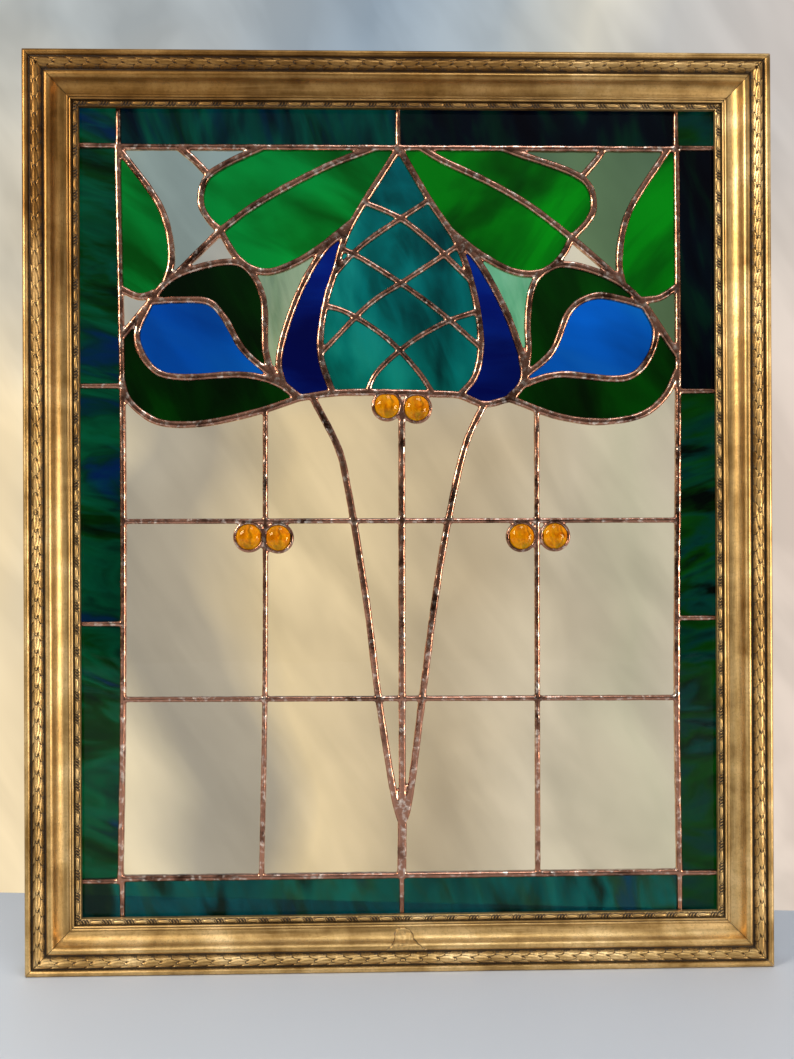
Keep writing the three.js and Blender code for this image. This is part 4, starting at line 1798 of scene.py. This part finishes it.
@dataclass(frozen=True)
class CoveBoss:
    """The worn boss in the bottom rail's cove: a small arch that spreads into a wider foot."""

    left: float = -17.0
    right: float = 13.0
    foot: float = 14.0
    head: float = 25.2
    sunk: float = 0.12
    root: float = 1.4
    columns: int = 60
    rows: int = 30
    spring: float = 0.5
    arch_half: float = 6.4
    foot_spread: float = 7.0
    foot_lean: float = 2.4
    ragged: float = 0.5
    slope: float = 1.3
    ring_half: Point = (5.0, 0.30)
    ring_place: float = 0.62
    ring_width: float = 0.3
    body_height: float = 0.55
    lump_height: float = 0.30
    ring_height: float = 0.35
    wash: float = 0.25
    rim_wash: float = 0.6
    rim_place: float = 0.4
    rim_width: float = 0.9

    def at(self, along: float, share: float) -> tuple[float, float]:
        """The boss at a place in the cove.

        Args:
            along: The place along the rail, in millimetres from its middle.
            share: The place from the boss's foot to its head, from 0 to 1.

        Returns:
            How far it stands up, in millimetres, and how dark the wash lies.
        """
        arch = max(0.0, share - self.spring) / self.spring
        half = (self.arch_half * math.sqrt(max(0.0, 1.0 - arch ** 2.4))
                + self.foot_spread * max(0.0, 1.0 - share / self.spring) ** 1.3)
        off = (abs(along + self.foot_lean * (1.0 - share))
               + self.ragged * math.sin(1.9 * along) * math.sin(9.0 * share))
        edge = min(1.0, max(0.0, (half - off) / self.slope))
        body = edge * edge * (3 - 2 * edge)
        wide, high = self.ring_half
        ring = bump_at(math.hypot(along / wide, (share - self.ring_place) / high) - 1.0, self.ring_width)
        lumps = 0.5 + 0.5 * math.sin(1.3 * along + 5.0 * share) * math.cos(0.9 * along - 11.0 * share)
        rise = body * (self.body_height + self.lump_height * lumps + self.ring_height * ring)
        rim = self.rim_wash * bump_at(half - off - self.rim_place, self.rim_width)
        return rise, self.wash + rim + self.wash * (1.0 - lumps) * body


@dataclass
class GildedFrame:
    """Four mitred rails with a run moulding and two carved bands."""

    sizes: FrameSizes = field(default_factory=FrameSizes)
    laurel: LaurelBand = field(default_factory=LaurelBand)
    tongues: TongueBand = field(default_factory=TongueBand)
    boss: CoveBoss = field(default_factory=CoveBoss)
    wear: float = 0.10
    wear_patches: float = 130.0
    stations: int = 40
    outer_side: float = 12.0
    grain_step: float = 0.3
    tile_weld: float = 0.02
    crease: float = 42.0
    # Across from the outer edge, height from the flat back, and how dark the wash lies
    moulding: tuple[tuple[float, float, float], ...] = (
        (0.0, 19.6, 0.55), (0.05, 20.6, 0.4), (0.3, 21.5, 0.25), (0.8, 22.2, 0.1), (1.5, 22.6, 0.0),
        (2.2, 22.7, 0.0), (2.9, 22.5, 0.05), (3.5, 22.0, 0.3), (3.9, 21.3, 0.7), (4.2, 20.8, 1.0),
        (4.7, 20.8, 1.0), (5.0, 21.3, 0.9), (6.0, 22.2, 0.8), (8.4, 22.6, 0.7), (10.8, 22.2, 0.8),
        (11.9, 21.2, 0.9), (12.3, 20.6, 1.0), (12.9, 20.5, 1.0), (13.2, 21.0, 0.7), (13.6, 21.7, 0.35),
        (14.2, 22.2, 0.05), (15.0, 22.4, 0.0), (15.9, 22.3, 0.0), (16.7, 21.9, 0.05), (17.4, 21.1, 0.15),
        (17.8, 20.3, 0.3), (18.2, 19.3, 0.4), (18.8, 18.1, 0.4), (19.7, 17.0, 0.35), (20.8, 16.1, 0.3),
        (22.2, 15.3, 0.2), (23.7, 14.75, 0.15), (24.9, 14.45, 0.25), (25.2, 14.35, 0.7), (25.35, 14.75, 0.3),
        (25.8, 15.0, 0.0), (26.3, 14.9, 0.0), (26.65, 14.5, 0.3), (26.8, 14.1, 0.9), (27.0, 14.1, 0.9),
        (27.15, 14.5, 0.3), (27.6, 14.65, 0.0), (28.05, 14.4, 0.2), (28.3, 13.6, 0.9), (28.5, 12.6, 1.0),
        (29.9, 12.7, 0.8), (31.4, 12.3, 0.8), (31.7, 12.45, 0.3), (31.9, 12.3, 0.2), (32.0, 11.9, 0.3))

    def band_tree(self) -> GrowthTree:
        """A tree that repeats one carved length from the middle of a rail to both of its ends.

        Returns:
            The tree.
        """
        tree = GrowthTree("carved_band")
        pitch = tree.named("Pitch", "Float", 0.02)
        repeats = tree.named("Repeats", "Int", 10)
        wear = tree.named("Wear", "Float", 0.0001)
        seed = tree.named("Seed", "Float", 1.0)
        gilding = tree.named("Gilding", "Material")
        offset = tree.node("ShaderNodeCombineXYZ", {"X": pitch})
        line = tree.node("GeometryNodeMeshLine", {"Count": repeats, "Offset": offset.outputs[0]})
        row = tree.node("GeometryNodeInstanceOnPoints",
                        {"Points": line.outputs[0], "Instance": tree.start.outputs["Geometry"]})
        real = tree.node("GeometryNodeRealizeInstances", {"Geometry": row.outputs[0]})
        mirrored = tree.node("GeometryNodeTransform", {"Geometry": real.outputs[0], "Scale": (-1, 1, 1)})
        flipped = tree.node("GeometryNodeFlipFaces", {"Mesh": mirrored.outputs[0]})
        both = tree.node("GeometryNodeJoinGeometry")
        tree.links.new(real.outputs[0], both.inputs[0])
        tree.links.new(flipped.outputs[0], both.inputs[0])
        whole = tree.node("GeometryNodeMergeByDistance",
                          {"Geometry": both.outputs[0], "Distance": self.tile_weld * MM})
        where = tree.node("GeometryNodeInputPosition")
        rubbed = tree.noise(where.outputs[0], self.wear_patches, seed=seed)
        depth = tree.spread(rubbed, 0.0, wear, 0.5, 0.8)
        sink = tree.node("ShaderNodeCombineXYZ", {"Z": tree.maths("MULTIPLY", depth, -1.0)})
        worn = tree.node("GeometryNodeSetPosition", {"Geometry": whole.outputs[0], "Offset": sink.outputs[0]})
        tree.finish(worn.outputs[0], gilding)
        return tree

    def moulding_mesh(self, half_length: float) -> bpy.types.Mesh:
        """The run moulding, mitred at both ends, x along, y across, z up.

        Args:
            half_length: Half the rail's length at its outer edge, in millimetres.

        Returns:
            The mesh, in metres.
        """
        s = self.sizes
        outline = [*self.moulding, (s.rail_width, s.rebate_depth, 0.8), (s.rebate_edge, s.rebate_depth, 0.9),
                   (s.rebate_edge, 0.0, 0.9), (0.0, 0.0, 0.9), (0.0, self.outer_side, 0.7)]
        ring = len(outline)
        points, hollows = [], []
        for i in range(self.stations + 1):
            share = 2 * i / self.stations - 1
            for across, height, wash in outline:
                half = half_length - across - s.mitre_gap / math.sqrt(2)
                points.append(Vector((share * half, across, height)) * MM)
                hollows.append(wash)
        faces = tube_faces(ring, self.stations)
        faces += [tuple(range(ring)), tuple(ring * self.stations + ring - 1 - j for j in range(ring))]
        return keep_hollows(mesh_from("moulding", points, faces=faces), hollows)

    def mitred(self, mesh: bpy.types.Mesh, half_length: float) -> bpy.types.Mesh:
        """Cuts a band at both mitres and closes the cuts.

        Args:
            mesh: The band, too long at both ends.
            half_length: Half the rail's length at its outer edge, in millimetres.

        Returns:
            The same mesh, cut.
        """
        work = bmesh.new()
        work.from_mesh(mesh)
        end = (half_length - self.sizes.mitre_gap / math.sqrt(2)) * MM
        for sign in (-1, 1):
            geometry = [*work.verts, *work.edges, *work.faces]
            bmesh.ops.bisect_plane(work, geom=geometry, dist=WELD, plane_co=(sign * end, 0, 0),
                                   plane_no=(sign, 1, 0), clear_outer=True)
            border = [e for e in work.edges if e.is_boundary and sign * e.verts[0].co.x > 0]
            bmesh.ops.holes_fill(work, edges=border, sides=0)
        work.to_mesh(mesh)
        work.free()
        return mesh

    def boss_mesh(self) -> bpy.types.Mesh:
        """The boss on the cove, x along, y across, z up.

        Returns:
            The mesh, in metres.
        """
        boss = self.boss
        points, hollows, faces = [], [], []
        for i in range(boss.columns + 1):
            for j in range(boss.rows + 1):
                u = boss.left + (boss.right - boss.left) * i / boss.columns
                across = boss.foot + (boss.head - boss.foot) * j / boss.rows
                rise, shade = boss.at(u, (across - boss.foot) / (boss.head - boss.foot))
                points.append(Vector((u, across, self.cove_height(across) - boss.sunk + rise)) * MM)
                hollows.append(shade)
        ring = boss.rows + 1
        top = len(points)
        for source in points[:top]:
            low = self.cove_height(source.y / MM) - boss.root
            points.append(Vector((source.x, source.y, low * MM)))
            hollows.append(1.0)
        for i in range(boss.columns):
            for j in range(boss.rows):
                a, b = i * ring + j, (i + 1) * ring + j
                faces.append((a, b, b + 1, a + 1))
                faces.append((top + a, top + a + 1, top + b + 1, top + b))
        rim = [*range(0, top, ring), *range(top - ring + 1, top),
               *range(top - 1 - ring, boss.rows - 1, -ring), *range(boss.rows - 1, 0, -1)]
        faces += [(a, top + a, top + b, b) for a, b in zip(rim, rim[1:] + rim[:1])]
        return keep_hollows(outward(mesh_from("cove_boss", points, faces=faces)), hollows)

    def cove_height(self, across: float) -> float:
        """The moulding's height.

        Args:
            across: The place across it.

        Returns:
            The height from the flat back, in millimetres.
        """
        for (a, low, _), (b, high, _) in zip(self.moulding, self.moulding[1:]):
            if a <= across <= b:
                return low + (high - low) * (across - a) / (b - a)
        return self.moulding[-1][1]

    def settle(self, mesh: bpy.types.Mesh, place: RailPlace) -> None:
        """Keeps where each point lies along the rail, and moves the rail to its place in the frame.

        Args:
            mesh: The rail.
            place: Where it goes.
        """
        s = self.sizes
        run = mesh.attributes.new("run", "FLOAT_VECTOR", "POINT")
        shift = self.grain_step * place.turns
        run.data.foreach_set("vector", [c for v in mesh.vertices for c in (v.co.x + shift, v.co.y, v.co.z)])
        reach = s.reach_x if place.upright else s.reach_z
        lay = Matrix(((1, 0, 0, 0), (0, 0, -1, 0), (0, -1, 0, reach * MM), (0, 0, 0, 1)))
        turn = Matrix.Rotation(math.pi / 2 * place.turns, 4, "Y")
        mesh.transform(Matrix.Translation((0, 0, s.centre_z * MM)) @ turn @ lay)

    def build(self, finish: WornGilding, back: RawWood) -> list[tuple[bpy.types.Object, str]]:
        """Builds the four rails.

        Args:
            finish: The gilding.
            back: The bare wood behind.

        Returns:
            The rails, each with the node it stands for.
        """
        s = self.sizes
        gilding, wood = finish.material(), back.material()
        tree = self.band_tree()
        rails = []
        for place in RailPlace:
            half_length = s.reach_z if place.upright else s.reach_x
            meshes = [self.moulding_mesh(half_length)]
            for band in (self.laurel, self.tongues):
                repeats = math.ceil((half_length - band.inner) / band.pitch) + 1
                grown = tree.grow("carved_band", band.tile(), Pitch=band.pitch * MM, Repeats=repeats,
                                  Wear=self.wear * MM, Seed=float(place.turns), Gilding=gilding)
                meshes.append(self.mitred(grown, half_length))
            if place is RailPlace.BOTTOM:
                meshes.append(self.boss_mesh())
            for mesh in meshes:
                mesh.materials.clear()
                mesh.materials.append(gilding)
                mesh.materials.append(wood)
            mesh = joined(place.node, meshes)
            self.settle(mesh, place)
            for polygon in mesh.polygons:
                behind = all(mesh.vertices[v].co.y > -(s.rebate_depth + 0.1) * MM for v in polygon.vertices)
                polygon.material_index = 1 if behind else 0
            shade_smooth(mesh, self.crease)
            rails.append((new_object(f"gilded_{place.node}", mesh), place.node))
        return rails


# The studio

# What is behind the panel, from left to right, low down and higher up, with bands of painted shadow and
# painted light on the wall
BACKDROP_LOW: Stops = (
    (0.0, (0.93, 0.73, 0.46)), (0.15, (0.95, 0.77, 0.49)), (0.225, (0.84, 0.72, 0.52)),
    (0.28, (0.47, 0.42, 0.35)), (0.35, (0.47, 0.41, 0.33)), (0.42, (0.88, 0.70, 0.44)),
    (0.50, (0.80, 0.64, 0.42)), (0.58, (0.58, 0.47, 0.33)), (0.70, (0.70, 0.61, 0.48)),
    (0.78, (0.60, 0.56, 0.43)), (0.87, (0.72, 0.62, 0.53)), (1.0, (0.82, 0.68, 0.58)))
BACKDROP_HIGH: Stops = (
    (0.0, (0.64, 0.62, 0.54)), (0.16, (0.44, 0.47, 0.47)), (0.3, (0.42, 0.46, 0.48)),
    (0.5, (0.33, 0.41, 0.49)), (0.64, (0.40, 0.45, 0.48)), (0.72, (0.78, 0.75, 0.65)),
    (0.80, (0.53, 0.52, 0.50)), (1.0, (0.62, 0.56, 0.52)))
# What is in front of it, from below to above
FRONT_LIGHT: Stops = (
    (0.0, (0.22, 0.20, 0.18)), (0.47, (0.065, 0.062, 0.06)), (0.55, (0.07, 0.07, 0.07)),
    (0.72, (0.30, 0.31, 0.33)), (1.0, (0.55, 0.56, 0.58)))


@dataclass(frozen=True)
class SoftLight:
    """A soft square light, with its places and its side in metres and its power in watts."""

    name: str
    place: tuple[float, float, float]
    aim: tuple[float, float, float]
    side: float
    power: float
    colour: Colour

    def build(self) -> None:
        """Makes the light, and hides its square from the camera and behind glass."""
        data = bpy.data.lights.new(self.name, "AREA")
        data.size = self.side
        data.energy = self.power
        data.color = self.colour
        obj = bpy.data.objects.new(self.name, data)
        obj.visible_camera = False
        obj.visible_transmission = False
        obj.location = self.place
        obj.rotation_euler = (Vector(self.aim) - Vector(self.place)).to_track_quat("-Z", "Y").to_euler()
        bpy.context.scene.collection.objects.link(obj)


LIGHTS = (
    SoftLight("key", (-1.0, -0.85, 0.30), (0.05, 0.0, -0.20), 0.5, 15.0, (1.0, 0.89, 0.72)),
    SoftLight("fill", (1.1, -0.80, -0.38), (-0.05, 0.0, -0.40), 0.45, 11.0, (1.0, 0.88, 0.72)),
    SoftLight("top", (0.15, -0.55, 0.75), (0.0, -0.02, -0.1), 0.4, 3.5, (0.88, 0.94, 1.0)))


@dataclass
class Studio:
    """Camera, lights, the pale floor and the soft surroundings, in metres and degrees."""

    camera_place: tuple[float, float, float] = (-0.01963, -0.69771, -0.28191)
    camera_turn: tuple[float, float, float] = (90.053, 0.236, -1.455)
    focal_pixels: float = 1100.0
    image_height: float = 1059.0
    sensor: float = 36.0
    floor_z: float = -0.5535
    floor_thick: float = 0.03
    floor_side: float = 1.3
    floor_near: float = -1.6
    floor_back_left: float = 0.245
    floor_back_right: float = -0.03
    shadow_streak_turn: float = 32.0

    def build(self) -> None:
        """Sets the studio up."""
        self.camera()
        self.floor()
        for light in LIGHTS:
            light.build()
        self.surroundings()

    def camera(self) -> None:
        """The camera at the photograph's angle."""
        data = bpy.data.cameras.new("camera")
        data.sensor_width = self.sensor
        data.lens = self.sensor * self.focal_pixels / self.image_height
        data.clip_start = 0.01
        obj = bpy.data.objects.new("camera", data)
        obj.location = self.camera_place
        obj.rotation_euler = tuple(math.radians(a) for a in self.camera_turn)
        bpy.context.scene.collection.objects.link(obj)
        bpy.context.scene.camera = obj

    def floor(self) -> None:
        """The plain pale floor under the frame, its back edge a little behind it."""
        side = self.floor_side
        corners = ((-side, self.floor_near), (side, self.floor_near),
                   (side, self.floor_back_right), (-side, self.floor_back_left))
        upper, lower = ([Vector((x, y, self.floor_z - drop)) for x, y in corners]
                        for drop in (0.0, self.floor_thick))
        obj = new_object("floor", slab("floor", upper, lower))
        obj.data.materials.append(FLOOR.material())

    def surroundings(self) -> None:
        """Soft light all round: dim in front, and pale behind the panel, crossed by painted shadows and
        painted light.
        """
        world = bpy.data.worlds.new("surroundings")
        bpy.context.scene.world = world
        world.use_nodes = True
        tree = NodeTools(world.node_tree)
        where = tree.node("ShaderNodeTexCoord").outputs["Generated"]
        split = tree.node("ShaderNodeSeparateXYZ", {0: where})
        front = tree.ramp(tree.spread(split.outputs["Z"], 0.0, 1.0, -1.0, 1.0), FRONT_LIGHT)
        facing = tree.spread(split.outputs["Y"], 0.0, 1.0, -0.2, 0.5)
        background = world.node_tree.nodes["Background"]
        tree.links.new(tree.mixed(facing, front, self.backdrop(tree, where, split)),
                       background.inputs["Color"])

    def backdrop(self, tree: NodeTools, where: bpy.types.NodeSocket,
                 split: bpy.types.Node) -> bpy.types.NodeSocket:
        """What is behind: cream at the left, bands of painted shadow and warm painted light, cool above, with
        soft slanting streaks of painted shadow.

        Args:
            tree: The world's tree.
            where: The direction looked in.
            split: Its three parts.

        Returns:
            The colour there.
        """
        turn = (0.0, math.radians(self.shadow_streak_turn), 0.0)
        shadow_streaks = tree.node("ShaderNodeMapping", {"Vector": where, "Rotation": turn}).outputs[0]
        shadow_streaks = tree.node("ShaderNodeMapping", {"Vector": shadow_streaks, "Scale": (1.0, 1.0, 0.22)}).outputs[0]
        sway = tree.spread(tree.noise(where, 4.0, 2.0, 0.5, 0.3, 2.0), -0.05, 0.05, 0.3, 0.7)
        across = tree.spread(tree.maths("ADD", split.outputs["X"], sway), 0.0, 1.0, -0.42, 0.42)
        # Painted shadow and light: the ramps hold dark bands and bright warm pools on the wall
        low, high = tree.ramp(across, BACKDROP_LOW), tree.ramp(across, BACKDROP_HIGH)
        lift = tree.maths("ADD", split.outputs["Z"], tree.maths("MULTIPLY", sway, 1.2))
        colour = tree.mixed(tree.spread(lift, 0.0, 1.0, 0.10, 0.36), low, high)
        # Painted shadow: slanting streaks that darken and lighten the wall behind the panel
        shade = tree.spread(tree.noise(shadow_streaks, 17.0, 3.0, 0.5, 0.5, 5.0), 0.84, 1.13, 0.35, 0.65)
        return tree.mixed(1.0, colour, shade, "MULTIPLY")


def hand_over(obj: bpy.types.Object, node: str) -> None:
    """Ties a finished piece to its body and node, and reports it.

    Args:
        obj: The piece.
        node: The node it stands for.
    """
    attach(obj, BODY)
    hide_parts(node)
    count = sum(len(face.vertices) - 2 for face in obj.data.polygons)
    log.info("%s: %d triangles, for %s", obj.name, count, node)


def main() -> None:
    """Builds the studio and every piece, in order."""
    logging.basicConfig(level=logging.INFO, format="%(message)s")
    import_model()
    bpy.context.scene.view_settings.view_transform = "Standard"
    Studio().build()
    cartoon = Cartoon()
    for obj, node, slot in GlassPanes().build(cartoon):
        hand_over(obj, node)
    for obj, node in AmberGems().build(cartoon, AMBER):
        hand_over(obj, node)
    hand_over(SolderNetwork().build(cartoon, SOLDER), "solder_seams")
    for obj, node in GildedFrame().build(GILDING, BACK_WOOD):
        hand_over(obj, node)


if __name__ == "__main__":
    main()
